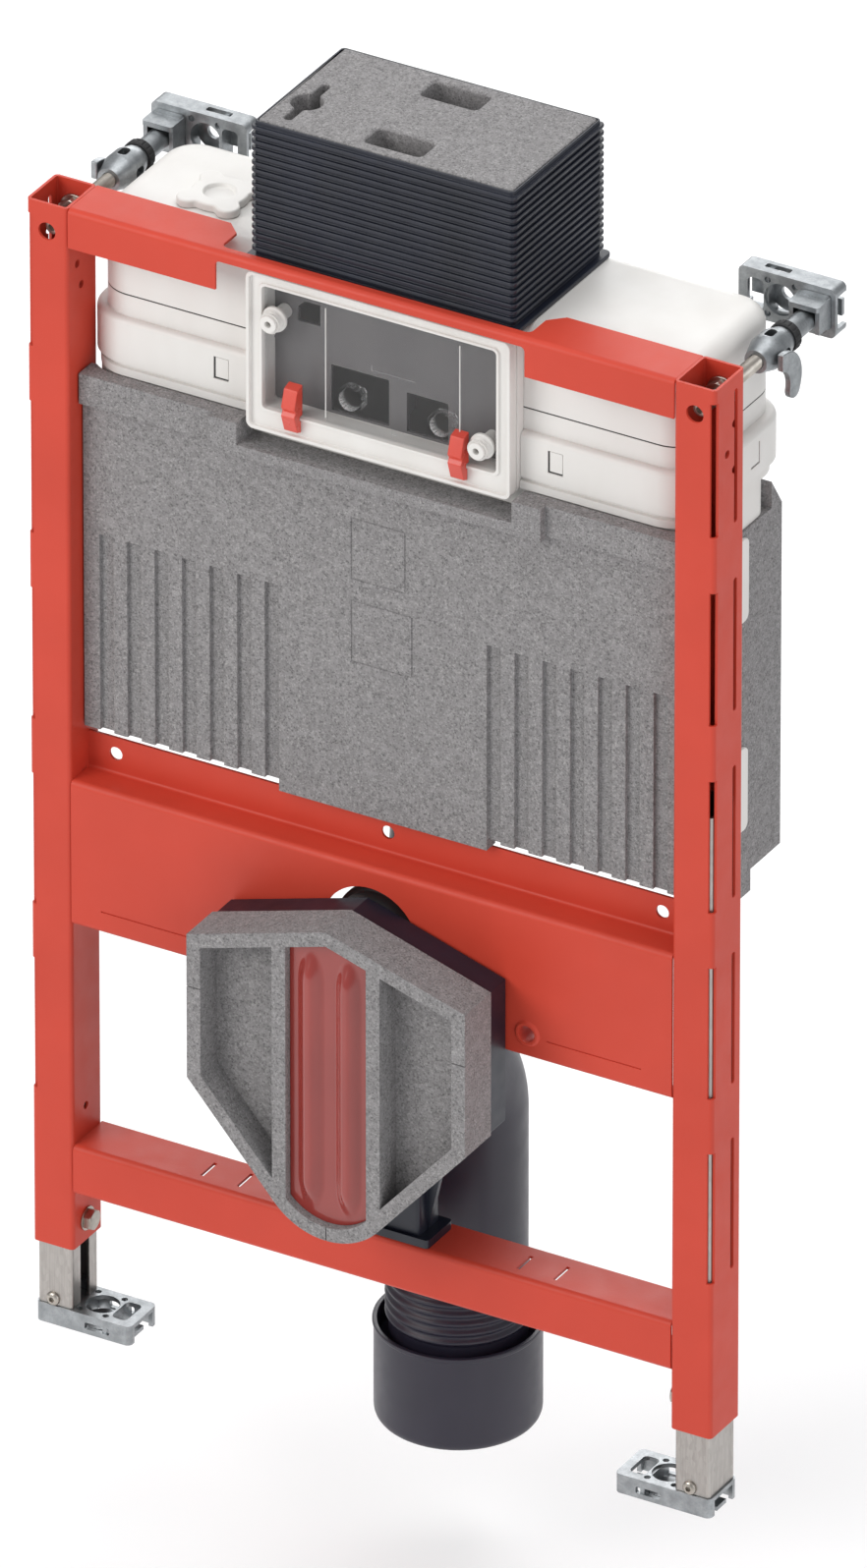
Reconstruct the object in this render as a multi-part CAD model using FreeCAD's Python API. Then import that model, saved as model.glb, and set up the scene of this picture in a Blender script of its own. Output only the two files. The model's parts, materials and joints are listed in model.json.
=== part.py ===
import FreeCAD, Part
import math
import os

# Wall hung toilet frame: a powder coated steel frame on two adjustable feet, with a foam clad
# cistern, its service window and shaft, the flush and drain bends and the two wall fixings.
# Lengths in mm. X runs across the frame, Y towards the wall, Z up. The model is set out from the
# floor line, the wall plane and the middle of the frame, and placed on the left wall fixing.

V = FreeCAD.Vector
X_AXIS = V(1, 0, 0)
Y_AXIS = V(0, 1, 0)
Z_AXIS = V(0, 0, 1)

# Clearances
seat_gap = 0.3
slide_gap = 0.3
foam_gap = 0.5

# Frame
frame_width = 500.0
frame_to_wall = 168.0
post_width = 30.0
post_depth = 37.0
post_height = 764.0
post_wall = 2.0
post_corner = 3.0
sheet = 2.0
bend_radius = 3.0

# Rows of slots in the posts
slot_length = 96.0
slot_pitch = 136.0
slot_count = 5
first_slot_height = 162.0
corner_slot_width = 4.0
rear_slot_width = 4.0
rear_slot_inset = 11.0

# Feet
casting_length = 70.0
casting_width = 35.0
casting_height = 14.0
casting_wall = 3.0
casting_corner = 4.0
fixing_hole_radius = 5.0
tongue_height = 10.0
foot_showing = 46.0
foot_tube_length = 500.0
foot_tube_wall = 2.0
foot_slot_width = 11.0
clamp_bolt_height = 12.0
clamp_bolt_radius = 5.0
clamp_head_size = 17.0
clamp_head_height = 6.5
clamp_nut_size = 16.0

# Cross members
top_bar_drop = 28.0
notch_half_width = 112.0
notch_strip = 8.0
notch_lip = 5.0
lower_bar_height = 36.0
lower_bar_rise = 42.0
slit_spacing = 206.0
slit_pitch = 27.0
plate_rise = 348.0
plate_face_height = 106.0
plate_flange_height = 26.0
plate_flange_setback = 23.0
plate_return = 14.0
plate_hole_radius = 4.7
plate_hole_spacing = 200.0

# Toilet connections, measured from the underside of the posts
stud_rise = 260.0
stud_spacing = 230.0
stud_hole_radius = 6.0
stud_collar = 3.5
near_stud_spacing = 180.0
stud_nut_size = 21.0
stud_nut_thickness = 13.0
inlet_rise = 298.0
inlet_hole_radius = 35.0
inlet_radius = 27.5
outlet_rise = 165.0

# Wall fixings
fixing_drop = 20.0
rod_radius = 5.0
rod_setback = 6.0
rod_nut_radius = 10.5
head_radius = 12.0
head_length = 34.0
head_setback = 40.0
ring_length = 7.0
sleeve_radius = 7.5

# Cistern
cistern_drop = 9.0
cistern_side_step = 1.5
cistern_front = 28.0
cistern_back = 139.0
cistern_corner = 24.0
cistern_top_round = 12.0
cistern_wall = 3.0
band_drop = 74.0
band_height = 32.0
band_swell = 5.0
band_side_swell = 7.5
clip_width = 11.0
clip_height = 16.0
clip_depth = 1.3
clip_from_window = 20.0
side_clip_from_front = 90.0
score_rise = 55.0
score_width = 1.0
score_depth = 0.8
lip_height = 8.0
tank_side_gap = 12.0
tank_back = 125.5
cap_radius = 28.0
cap_x = -152.0
cap_depth = 74.0

# Foam cladding
foam_front = 16.0
foam_wall = 11.5
foam_split = 42.0
foam_back = 148.5
foam_side_gap = 1.0
foam_back_swell = 0.5
foam_side_drop = 30.0
foam_ridge_rise = 19.0
foam_ridge_fall = 16.0
foam_rim_height = 22.0
foam_rim_swell = 5.0
foam_cradle_half_width = 121.0
foam_cradle_swell = 6.0
foam_pad_half_width = 76.0
foam_underside_drop = 30.0
foam_underside_step = 15.5
foam_step_from_front = 101.5
foam_ledge_from_front = 82.0
foam_lift = 7.0
foam_corner = 8.0
rib_pitch = 20.2
rib_gap = 10.0
rib_depth = 3.0
rib_height = 150.0
ribs_each_side = 7
hook_from_front = 80.0
hook_drop = 33.0
hook_pitch = 152.0
hook_width = 13.0
hook_height = 60.0
hook_thickness = 2.5

# Service window
window_width = 192.0
window_height = 113.0
window_drop = 14.0
window_front = 10.0
window_side_rim = 11.0
window_top_rim = 9.0
window_bottom_rim = 16.0
window_ridge = 2.5
window_step = 3.0
window_lip = 2.0
panel_thickness = 2.5
bulkhead_thickness = 2.5
bulkhead_openings = ((-44.0, -2.0, 51.0), (11.0, 41.0, 46.0))
bulkhead_vent = (-68.0, -52.0, 76.0, 91.0)
shelf_depth = 22.0

# Service shaft
shaft_width = 188.0
shaft_depth = 111.0
shaft_height = 99.0
shaft_wall = 1.5
shaft_rib = 2.0
shaft_rib_pitch = 5.1
shaft_rib_height = 2.4
shaft_flange = 5.0
shaft_flange_thickness = 3.0
shaft_setback = 18.0
plug_stand = 0.8
pocket_length = 42.0
pocket_width = 21.0
pocket_inset = 20.5
pocket_depth = 22.0
key_inset = 15.5
key_from_front = 35.0
key_radius = 10.5
key_length = 52.0

# Bowl cover
cover_width = 204.0
cover_top_rise = 298.0
cover_apex = 31.0
cover_side = 105.0
cover_bottom_radius = 50.0
cover_total_drop = 227.0
cover_thickness = 33.0
cover_rim = 10.0
cover_recess = 21.0
insert_width = 59.0
insert_recess = 9.0
insert_tube_radius = 9.0
insert_tube_spacing = 27.0
backing_thickness = 23.0
backing_inset = 1.5

# Drain
drain_radius = 45.0
drain_wall = 3.5
drain_bend_radius = 50.0
drain_to_wall = 55.5
drain_end = -20.0
cup_radius = 54.5
cup_wall = 3.5
cup_top = 19.0
cup_bottom = -52.0
cup_round = 8.0
holder_depth = 26.0
holder_wall = 7.0

# Flush pipe
flush_radius = 22.5
flush_wall = 2.5
flush_bend_radius = 45.0
flush_to_front = 70.0

# Places worked out from the sizes above
front_y = -frame_to_wall
post_back_y = front_y + post_depth
post_mid_y = front_y + post_depth / 2
half_width = frame_width / 2
post_inner_x = half_width - post_width
post_mid_x = half_width - post_width / 2
foam_half_width = post_inner_x - foam_side_gap
foam_back_half_width = foam_half_width + foam_back_swell
cistern_half_width = foam_half_width - cistern_side_step
post_bottom = casting_height + foot_showing
post_top = post_bottom + post_height
plate_top = post_bottom + plate_rise
plate_bottom = plate_top - plate_face_height
flange_top = plate_top + plate_flange_height
fixing_height = post_top - fixing_drop
stud_height = post_bottom + stud_rise
inlet_height = post_bottom + inlet_rise
outlet_height = post_bottom + outlet_rise
wall_plate_front = -casting_height
cistern_top = post_top - cistern_drop
band_top = cistern_top - band_drop
band_bottom = band_top - band_height
lip_bottom = band_bottom - lip_height
foam_top = lip_bottom - foam_gap
foam_bottom = flange_top + seat_gap
foam_side_top = foam_top - foam_side_drop
tank_front_y = front_y + foam_front + foam_wall + foam_gap
tank_back_y = front_y + tank_back
tank_half_width = foam_back_half_width - foam_wall - foam_gap
tank_bottom = foam_bottom + tank_side_gap
window_top = post_top - window_drop
window_bottom = window_top - window_height
window_front_y = front_y + window_front
cistern_front_y = front_y + cistern_front
cistern_back_y = front_y + cistern_back
shaft_front_y = front_y + shaft_setback
cover_back_y = front_y - backing_thickness - seat_gap
cover_front_y = cover_back_y - cover_thickness
cover_shoulder = post_bottom + cover_top_rise
drain_y = -drain_to_wall
origin_x = -post_mid_x


def box(x0, x1, y0, y1, z0, z1):
    return Part.makeBox(x1 - x0, y1 - y0, z1 - z0, V(x0, y0, z0))


def rounded_box(x0, x1, y0, y1, z0, z1, radius, axis=Z_AXIS):
    """Box whose four edges along the axis are rounded."""
    body = box(x0, x1, y0, y1, z0, z1)
    edges = [e for e in body.Edges if abs(e.tangentAt(e.FirstParameter).dot(axis)) > 0.99]
    return body.makeFillet(radius, edges)


def rod(radius, start, end):
    way = end - start
    return Part.makeCylinder(radius, way.Length, start, way)


def mirrored(shape):
    return shape.mirror(V(0, 0, 0), X_AXIS)


def prism_along_x(section, x0, x1):
    """Extrudes a face drawn in the Y-Z plane from x0 to x1."""
    return section.translated(V(x0, 0, 0)).extrude(V(x1 - x0, 0, 0))


def flat_face(points):
    return Part.Face(Part.makePolygon(points + points[:1]))


def sheet_section(path, thickness, bend):
    """Face of a folded sheet: path holds the (y, z) corners of its middle line, each bent by an arc."""
    points = [V(0, y, z) for y, z in path]
    ways = [(b - a).normalize() for a, b in zip(points, points[1:])]
    normals = [V(0, -way.z, way.y) for way in ways]
    edges = []
    ends = []
    for side in (0.5 * thickness, -0.5 * thickness):
        here = points[0] + normals[0] * side
        ends.append(here)
        for i in range(1, len(points) - 1):
            turn = ways[i - 1].cross(ways[i]).x
            hand = 1.0 if turn > 0 else -1.0
            reach = bend * math.tan(0.5 * ways[i - 1].getAngle(ways[i]))
            centre = points[i] - ways[i - 1] * reach + normals[i - 1] * (hand * bend)
            outward = (points[i] - centre).normalize()
            arc_start = points[i] - ways[i - 1] * reach + normals[i - 1] * side
            arc_end = points[i] + ways[i] * reach + normals[i] * side
            arc_mid = centre + outward * (bend - hand * side)
            edges.append(Part.LineSegment(here, arc_start).toShape())
            edges.append(Part.Arc(arc_start, arc_mid, arc_end).toShape())
            here = arc_end
        last = points[-1] + normals[-1] * side
        edges.append(Part.LineSegment(here, last).toShape())
        ends.append(last)
    edges.append(Part.LineSegment(ends[0], ends[2]).toShape())
    edges.append(Part.LineSegment(ends[1], ends[3]).toShape())
    return Part.Face(Part.Wire(Part.__sortEdges__(edges)))


def revolved(profile, base, axis):
    """Turns a profile of (radius, height) corners about an axis line."""
    across = Y_AXIS if abs(axis.x) > 0.5 else X_AXIS
    corners = [base + across * r + axis * h for r, h in profile]
    return flat_face(corners).revolve(base, axis, 360)


def pipe_elbow(radius, bend, start, first_way, second_way):
    """Quarter bend of a round bar from start, heading first_way and leaving along second_way."""
    centre = start + second_way * bend
    section = Part.Face(Part.Wire(Part.makeCircle(radius, start, first_way)))
    turn_axis = first_way.cross(second_way)
    return section.revolve(centre, turn_axis, 90)


def slot_heights():
    first = post_bottom + first_slot_height
    return [first + slot_pitch * i for i in range(slot_count)]


def right_post():
    """Rolled post, open at both ends, with slots at its outer front corner and near its rear edge."""
    outer = rounded_box(post_inner_x, half_width, front_y, post_back_y, post_bottom, post_top, post_corner)
    bore = rounded_box(post_inner_x + post_wall, half_width - post_wall,
                       front_y + post_wall, post_back_y - post_wall,
                       post_bottom, post_top, post_corner - post_wall)
    post = outer.cut(bore)
    cuts = []
    for height in slot_heights():
        low = height - slot_length / 2
        high = height + slot_length / 2
        cuts.append(box(half_width - corner_slot_width, half_width + 1,
                        front_y - 1, front_y + corner_slot_width, low, high))
        rear = post_back_y - rear_slot_inset
        cuts.append(rounded_box(half_width - post_wall - 1, half_width + 1, rear - rear_slot_width / 2,
                                rear + rear_slot_width / 2, low, high, 0.45 * rear_slot_width, X_AXIS))
    access = V(post_mid_x, front_y - 1, fixing_height)
    cuts.append(rod(rod_radius + 1.2, access, access + Y_AXIS * (post_wall + 2)))
    rear_hole = V(post_mid_x, post_back_y - post_wall - 1, fixing_height)
    cuts.append(rod(rod_radius + seat_gap, rear_hole, rear_hole + Y_AXIS * (post_wall + 2)))
    clamp = V(post_inner_x - 1, post_mid_y, post_bottom + clamp_bolt_height)
    cuts.append(rod(clamp_bolt_radius + seat_gap, clamp, clamp + X_AXIS * (post_wall + 2)))
    for rise, inset in ((100.0, 17.0), (post_height - 45.0, 12.0), (post_height - 62.0, 17.0)):
        hole = V(post_inner_x - 1, front_y + inset, post_bottom + rise)
        cuts.append(rod(2.8, hole, hole + X_AXIS * (post_wall + 2)))
    for drop, inset in ((34.0, 24.0), (52.0, 15.0), (67.0, 24.0)):
        hole = V(half_width - post_wall - 1, front_y + inset, post_top - drop)
        cuts.append(rod(2.8, hole, hole + X_AXIS * (post_wall + 2)))
    return post.cut(Part.Compound(cuts))


def right_foot_tube():
    """Galvanised C section that slides in the post, open towards the middle of the frame."""
    gap = post_wall + slide_gap
    x0, x1 = post_inner_x + gap, half_width - gap
    y0, y1 = front_y + gap, post_back_y - gap
    low, high = casting_height, casting_height + foot_tube_length
    outer = rounded_box(x0, x1, y0, y1, low, high, foot_tube_wall)
    wall = foot_tube_wall
    bore = box(x0 + wall, x1 - wall, y0 + wall, y1 - wall, low, high)
    mouth = box(x0 - 1, x0 + wall + 1, post_mid_y - foot_slot_width / 2,
                post_mid_y + foot_slot_width / 2, low, high)
    return outer.cut(bore.fuse(mouth))


def casting():
    """Ribbed die cast plate, drawn lying flat with its outer end at x = 0 and running towards -x."""
    half = casting_width / 2
    plate = rounded_box(-casting_length, 0, -half, half, 0, casting_height, casting_corner)
    wall = casting_wall
    hollow = box(-casting_length + wall, -wall, -half + wall, half - wall, -1, casting_height - wall)
    plate = plate.cut(hollow)
    end_gap = box(-wall - 1, 1, -half + 2 * wall, half - 2 * wall, -1, casting_height - wall)
    plate = plate.cut(end_gap)
    round_x = -0.57 * casting_length
    far_x = -0.82 * casting_length
    pocket = Part.makeCylinder(0.32 * casting_width, wall + 2, V(round_x, 0, casting_height - wall - 1))
    far = rounded_box(far_x - 6, far_x + 5.5, -half + 2.2 * wall, half - 2.2 * wall,
                      casting_height - wall - 1, casting_height + 1, 3.5)
    pins = [Part.makeCylinder(2.2, wall + 2, V(x, y, casting_height - wall - 1))
            for x in (-0.7 * casting_length, -0.42 * casting_length) for y in (-half + 5.5, half - 5.5)]
    side = rounded_box(-0.78 * casting_length, -0.52 * casting_length, -half - 1, half + 1,
                       0.25 * casting_height, 0.6 * casting_height, 1.2, Y_AXIS)
    plate = plate.cut(Part.Compound([pocket, far, side] + pins))
    eye = Part.makeCylinder(0.32 * casting_width + 2, wall, V(round_x, 0, 0))
    web = box(-casting_length + wall / 2, -wall / 2, -2 * wall, 2 * wall, 0, wall)
    floor = eye.fuse(web)
    rings = [box(x - wall / 2, x + wall / 2, -half + wall / 2, half - wall / 2, 0, casting_height - wall / 2)
             for x in (-0.72 * casting_length, -0.38 * casting_length)]
    plate = plate.fuse([floor] + rings)
    screw = Part.makeCylinder(fixing_hole_radius, casting_height + 2, V(round_x, 0, -1))
    return plate.cut(screw).removeSplitter()


def right_foot_plate():
    """Casting under the foot tube, with the tongue that the tube is screwed to."""
    plate = casting().translated(V(half_width - 1, post_mid_y, 0))
    inner = post_wall + slide_gap + foot_tube_wall + seat_gap
    tongue = box(post_inner_x + inner, half_width - inner, front_y + inner, front_y + inner + 4,
                 casting_height - 1, casting_height + tongue_height)
    rear = box(post_inner_x + inner, half_width - inner, post_back_y - inner - 4, post_back_y - inner,
               casting_height - 1, casting_height + tongue_height - 2)
    return plate.fuse([tongue, rear])


def right_clamp_bolt():
    """Hexagon bolt through the post's inner side, with its clamping nut inside the foot tube."""
    centre = V(post_inner_x, post_mid_y, post_bottom + clamp_bolt_height)
    across = clamp_head_size / math.sqrt(3)
    corners = [centre + V(-seat_gap, across * math.cos(math.radians(60 * i)),
                          across * math.sin(math.radians(60 * i))) for i in range(6)]
    head = flat_face(corners).extrude(X_AXIS * -clamp_head_height)
    nut_start = post_wall + slide_gap + foot_tube_wall + seat_gap
    nut = box(post_inner_x + nut_start, post_inner_x + nut_start + 7, post_mid_y - clamp_nut_size / 2,
              post_mid_y + clamp_nut_size / 2, centre.z - clamp_nut_size / 2, centre.z + clamp_nut_size / 2)
    shank = rod(clamp_bolt_radius - seat_gap, centre - X_AXIS * (seat_gap + 1),
                centre + X_AXIS * (nut_start + 9))
    return head.fuse([shank, nut]).removeSplitter()


def top_bar():
    """Folded top and front flanges, cut away in the middle for the service shaft and window."""
    mid = sheet / 2
    path = [(front_y + post_depth, post_top - mid), (front_y + mid, post_top - mid),
            (front_y + mid, post_top - top_bar_drop)]
    bar = prism_along_x(sheet_section(path, sheet, bend_radius), -post_inner_x, post_inner_x)
    notch = rounded_box(-notch_half_width, notch_half_width, front_y + notch_strip, post_back_y + 20,
                        post_top - top_bar_drop - 5, post_top + 5, 4)
    face = rounded_box(-notch_half_width, notch_half_width, front_y - 20, front_y + notch_strip + 5,
                       post_top - top_bar_drop - 10, post_top - sheet - notch_lip, 3, Y_AXIS)
    corner = box(notch_half_width - 9, notch_half_width + 9, post_back_y - 7, post_back_y + 7,
                 post_top - 5, post_top + 5)
    corner.rotate(V(notch_half_width, post_back_y, post_top), Z_AXIS, 45)
    return bar.cut(Part.Compound([notch, face, corner, mirrored(corner)])).removeSplitter()


def lower_bar():
    """Channel between the feet of the posts, open to the rear, with two pairs of slits on top."""
    low = post_bottom + lower_bar_rise
    high = low + lower_bar_height
    mid = sheet / 2
    path = [(post_back_y, high - mid), (front_y + mid, high - mid), (front_y + mid, low + mid),
            (post_back_y, low + mid)]
    bar = prism_along_x(sheet_section(path, sheet, bend_radius), -post_inner_x, post_inner_x)
    slits = []
    for x in (slit_spacing / 2, slit_spacing / 2 + slit_pitch):
        slit = box(x - 1.2, x + 1.2, post_mid_y - 9, post_mid_y + 9, high - sheet - 1, high + 1)
        slits += [slit, mirrored(slit)]
    return bar.cut(Part.Compound(slits))


def toilet_plate():
    """Folded plate that carries the bowl: rear flange, shelf, tall front face and a lower return."""
    mid = sheet / 2
    path = [(front_y + plate_flange_setback + mid, flange_top),
            (front_y + plate_flange_setback + mid, plate_top - mid),
            (front_y + mid, plate_top - mid), (front_y + mid, plate_bottom + mid),
            (front_y + plate_return, plate_bottom + mid)]
    plate = prism_along_x(sheet_section(path, sheet, bend_radius), -post_inner_x, post_inner_x)
    cuts = []
    hole_z = plate_top + 0.55 * plate_flange_height
    for x in (-plate_hole_spacing, 0.0, plate_hole_spacing):
        start = V(x, front_y + plate_flange_setback - 2, hole_z)
        cuts.append(rod(plate_hole_radius, start, start + Y_AXIS * (sheet + 4)))
    inlet = V(0, front_y - 2, inlet_height)
    cuts.append(rod(inlet_hole_radius, inlet, inlet + Y_AXIS * (sheet + 4)))
    for spacing, collar in ((stud_spacing, True), (near_stud_spacing, False)):
        for side in (-1, 1):
            start = V(side * spacing / 2, front_y, stud_height)
            if collar:
                ring = revolved([(0, -1.4), (stud_hole_radius + 1.6, -1.4),
                                 (stud_hole_radius + stud_collar, 0.2), (stud_hole_radius + stud_collar, sheet),
                                 (0, sheet)], start, Y_AXIS)
                nut_front = start + Y_AXIS * (sheet - 0.5)
                across = stud_nut_size / math.sqrt(3)
                corners = [nut_front + V(across * math.cos(math.radians(60 * i)), 0,
                                         across * math.sin(math.radians(60 * i))) for i in range(6)]
                nut = flat_face(corners).extrude(Y_AXIS * stud_nut_thickness)
                plate = plate.fuse([ring, nut])
            cuts.append(rod(stud_hole_radius, start - Y_AXIS * 3, start + Y_AXIS * (sheet + stud_nut_thickness)))
    crease = box(stud_spacing / 2 + 14, post_inner_x - 22, front_y - 1, front_y + 0.7,
                 stud_height - 2.4, stud_height - 1.4)
    cuts += [crease, mirrored(crease)]
    return plate.cut(Part.Compound(cuts))


def fixing_axis(depth):
    """Point on the right wall fixing's axis, at a distance in front of the wall."""
    return V(post_mid_x, -depth, fixing_height)


def ring_front():
    return frame_to_wall - post_depth - head_setback - head_length


def right_wall_rod():
    """Threaded rod through the post, held there by a nut and reaching into the swivel head."""
    inner = frame_to_wall - post_depth + post_wall
    body = rod(rod_radius, fixing_axis(frame_to_wall - rod_setback), fixing_axis(ring_front() + head_length - 6))
    nut = rod(rod_nut_radius, fixing_axis(inner + seat_gap + 7), fixing_axis(inner + seat_gap))
    washer = rod(rod_nut_radius - 1, fixing_axis(inner - post_wall - seat_gap),
                 fixing_axis(inner - post_wall - seat_gap - 4))
    return body.fuse([nut, washer])


def right_swivel_head():
    """Cast knuckle with two side windows round the end of the rod."""
    start = fixing_axis(ring_front() + head_length)
    bore = rod_radius + seat_gap
    profile = [(bore, 0), (8, 0), (head_radius - 1.5, 8), (head_radius, 13), (head_radius, 24),
               (head_radius - 3, head_length), (6.5, head_length), (6.5, 14), (bore, 11)]
    head = revolved(profile, start, Y_AXIS)
    middle = start + Y_AXIS * 16
    window = rounded_box(-head_radius - 1, head_radius + 1, -4.5, 4.5, -3.2, 3.2, 2.5, X_AXIS)
    upper = rounded_box(-3.2, 3.2, -4.5, 4.5, -head_radius - 1, head_radius + 1, 2.5)
    seats = Part.Compound([window.translated(middle + Y_AXIS * 3), upper.translated(middle + Y_AXIS * 3)])
    return head.cut(seats)


def right_lock_ring():
    """Knurled black ring between the swivel head and the wall clip."""
    start = fixing_axis(ring_front() - seat_gap)
    ring = revolved([(sleeve_radius - 2, 0), (head_radius - 2.2, 0), (head_radius - 1.4, 1),
                     (head_radius - 1.4, ring_length - 1), (head_radius - 2.2, ring_length),
                     (sleeve_radius - 2, ring_length)], start, Y_AXIS)
    teeth = 16
    notches = []
    for i in range(teeth):
        angle = 2 * math.pi * i / teeth
        at = start + V(math.cos(angle), 0, math.sin(angle)) * (head_radius - 1.0)
        notches.append(rod(0.9, at - Y_AXIS, at + Y_AXIS * (ring_length + 1)))
    return ring.cut(Part.Compound(notches))


def right_wall_clip():
    """Sleeve that takes the swivel head, with the saddle hooked into the wall plate."""
    start = ring_front() - 2 * seat_gap - ring_length
    sleeve = rod(sleeve_radius, fixing_axis(start), fixing_axis(casting_height + seat_gap))
    spigot = rod(sleeve_radius - 2.4, fixing_axis(start - 1), fixing_axis(start + ring_length + 4))
    saddle_y = wall_plate_front - seat_gap
    saddle = rounded_box(post_mid_x - 11, post_mid_x + 11, saddle_y - 5, saddle_y,
                         fixing_height - 12, fixing_height + 13, 3, Y_AXIS)
    hood = rounded_box(post_mid_x - 11, post_mid_x + 11, saddle_y - 17, saddle_y,
                       fixing_height + 8.5, fixing_height + 12, 2)
    cheeks = [box(post_mid_x + side * 9.5 - 1.5, post_mid_x + side * 9.5 + 1.5, saddle_y - 15, saddle_y,
                  fixing_height - 8, fixing_height + 10) for side in (-1, 1)]
    return sleeve.fuse([spigot, saddle, hood] + cheeks).removeSplitter()


def right_lock_lever():
    """Curved finger lever beside the swivel head."""
    start = fixing_axis(ring_front() + head_length - 12)
    x0 = post_mid_x + head_radius + seat_gap
    outer = Part.Arc(V(x0, start.y - 6, start.z + 6), V(x0, start.y + 10, start.z + 1),
                     V(x0, start.y + 16, start.z - 26)).toShape()
    tip = Part.Arc(V(x0, start.y + 16, start.z - 26), V(x0, start.y + 8, start.z - 31),
                   V(x0, start.y + 3, start.z - 24)).toShape()
    inner = Part.Arc(V(x0, start.y + 3, start.z - 24), V(x0, start.y + 1, start.z - 11),
                     V(x0, start.y - 6, start.z - 6)).toShape()
    heel = Part.LineSegment(V(x0, start.y - 6, start.z - 6), V(x0, start.y - 6, start.z + 6)).toShape()
    blade = Part.Face(Part.Wire([outer, tip, inner, heel])).extrude(X_AXIS * 4.5)
    return blade


def right_wall_plate():
    """The foot casting again, stood up with its open side on the wall."""
    plate = casting()
    plate.rotate(V(0, 0, 0), X_AXIS, 90)
    return plate.translated(V(half_width - 1, 0, fixing_height))


def cistern_block(half, y0, y1, z0, z1, corner):
    return rounded_box(-half, half, y0, y1, z0, z1, corner)


def cistern_cover():
    """Moulded upper shell: body with a rounded top, swelling into the band and lip above the foam."""
    half = cistern_half_width
    body = cistern_block(half, cistern_front_y, cistern_back_y, band_top - 4, cistern_top, cistern_corner)
    crown = [e for e in body.Edges if e.BoundBox.ZMin > cistern_top - 0.01]
    body = body.makeFillet(cistern_top_round, crown)
    swell = band_swell
    band = cistern_block(half + band_side_swell, cistern_front_y - swell, cistern_back_y + swell,
                         band_bottom, band_top, cistern_corner + swell + 1)
    shoulder = [e for e in band.Edges if e.BoundBox.ZMin > band_top - 0.01]
    band = band.makeFillet(0.8 * swell, shoulder)
    lip = cistern_block(half + 3, cistern_front_y - swell - 1, cistern_back_y + swell - 2,
                        lip_bottom, band_bottom - 2.5, cistern_corner + 3)
    waist = cistern_block(half + 2, cistern_front_y - swell + 2, cistern_back_y + swell - 3,
                          band_bottom - 3, band_bottom + 1, cistern_corner + 2)
    score = cistern_block(half + 1, cistern_front_y - 1, cistern_back_y + 1, lip_bottom + score_rise,
                          lip_bottom + score_rise + score_width, cistern_corner)
    core = cistern_block(half - score_depth, cistern_front_y + score_depth, cistern_back_y - score_depth,
                         lip_bottom, cistern_top, cistern_corner - score_depth)
    shell = body.cut(score.cut(core)).fuse([band, lip, waist])
    wall = cistern_wall
    hollow = cistern_block(half - wall, cistern_front_y + wall, cistern_back_y - wall,
                           lip_bottom - 1, cistern_top - wall, cistern_corner - wall)
    ceiling = [e for e in hollow.Edges if e.BoundBox.ZMin > cistern_top - wall - 0.01]
    shell = shell.cut(hollow.makeFillet(cistern_top_round - wall, ceiling))
    rim = window_side_rim
    opening = box(-window_width / 2 + rim, window_width / 2 - rim, cistern_front_y - 20,
                  cistern_front_y + wall + 2, window_bottom + window_bottom_rim, window_top - window_top_rim)
    frame_seat = box(-window_width / 2 - seat_gap, window_width / 2 + seat_gap, cistern_front_y - 20,
                     cistern_front_y, lip_bottom - 1, window_top + 20)
    well = shaft_width / 2 - shaft_wall - 3
    top_hole = rounded_box(-well, well, shaft_front_y + shaft_wall + 3,
                           shaft_front_y + shaft_depth - shaft_wall - 3,
                           cistern_top - wall - 1, cistern_top + 1, 6)
    clip_x = window_width / 2 + clip_from_window
    clip_z = band_bottom + (band_height - clip_height) / 2
    clip = box(clip_x, clip_x + clip_width, cistern_front_y - swell - 1, cistern_front_y - swell + clip_depth,
               clip_z, clip_z + clip_height)
    side_y = front_y + side_clip_from_front
    side = half + band_side_swell
    side_clip = box(side - clip_depth, side + 1, side_y, side_y + clip_width, clip_z, clip_z + clip_height)
    clips = [clip, mirrored(clip), side_clip, mirrored(side_clip)]
    return shell.cut(Part.Compound([opening, frame_seat, top_hole] + clips))


def tank():
    """Lower tank in the foam: it widens above the foam's side edge to the flange that the cover sits on."""
    wall = cistern_wall
    step = foam_side_top + seat_gap
    top = lip_bottom - seat_gap
    neck = cistern_half_width + 0.5
    corner = 0.6 * cistern_corner
    outer = rounded_box(-tank_half_width, tank_half_width, tank_front_y, tank_back_y,
                        tank_bottom, step + wall, cistern_corner)
    upper = rounded_box(-neck, neck, tank_front_y, tank_back_y, step, top, corner)
    flange = cistern_block(cistern_half_width + 2, tank_front_y + seat_gap, cistern_back_y + 2,
                           top - wall, top, cistern_corner)
    bore = rounded_box(-tank_half_width + wall, tank_half_width - wall, tank_front_y + wall,
                       tank_back_y - wall, tank_bottom + wall, step + wall, cistern_corner - wall)
    mouth = rounded_box(-neck + wall, neck - wall, tank_front_y + wall, tank_back_y - wall,
                        step + wall, top + 1, corner - wall)
    outlet = V(0, front_y + flush_to_front, tank_bottom - 1)
    drilled = rod(flush_radius - flush_wall, outlet, outlet + Z_AXIS * (wall + 2))
    return outer.fuse([upper, flange]).cut(Part.Compound([bore, mouth])).cut(drilled).removeSplitter()


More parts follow.
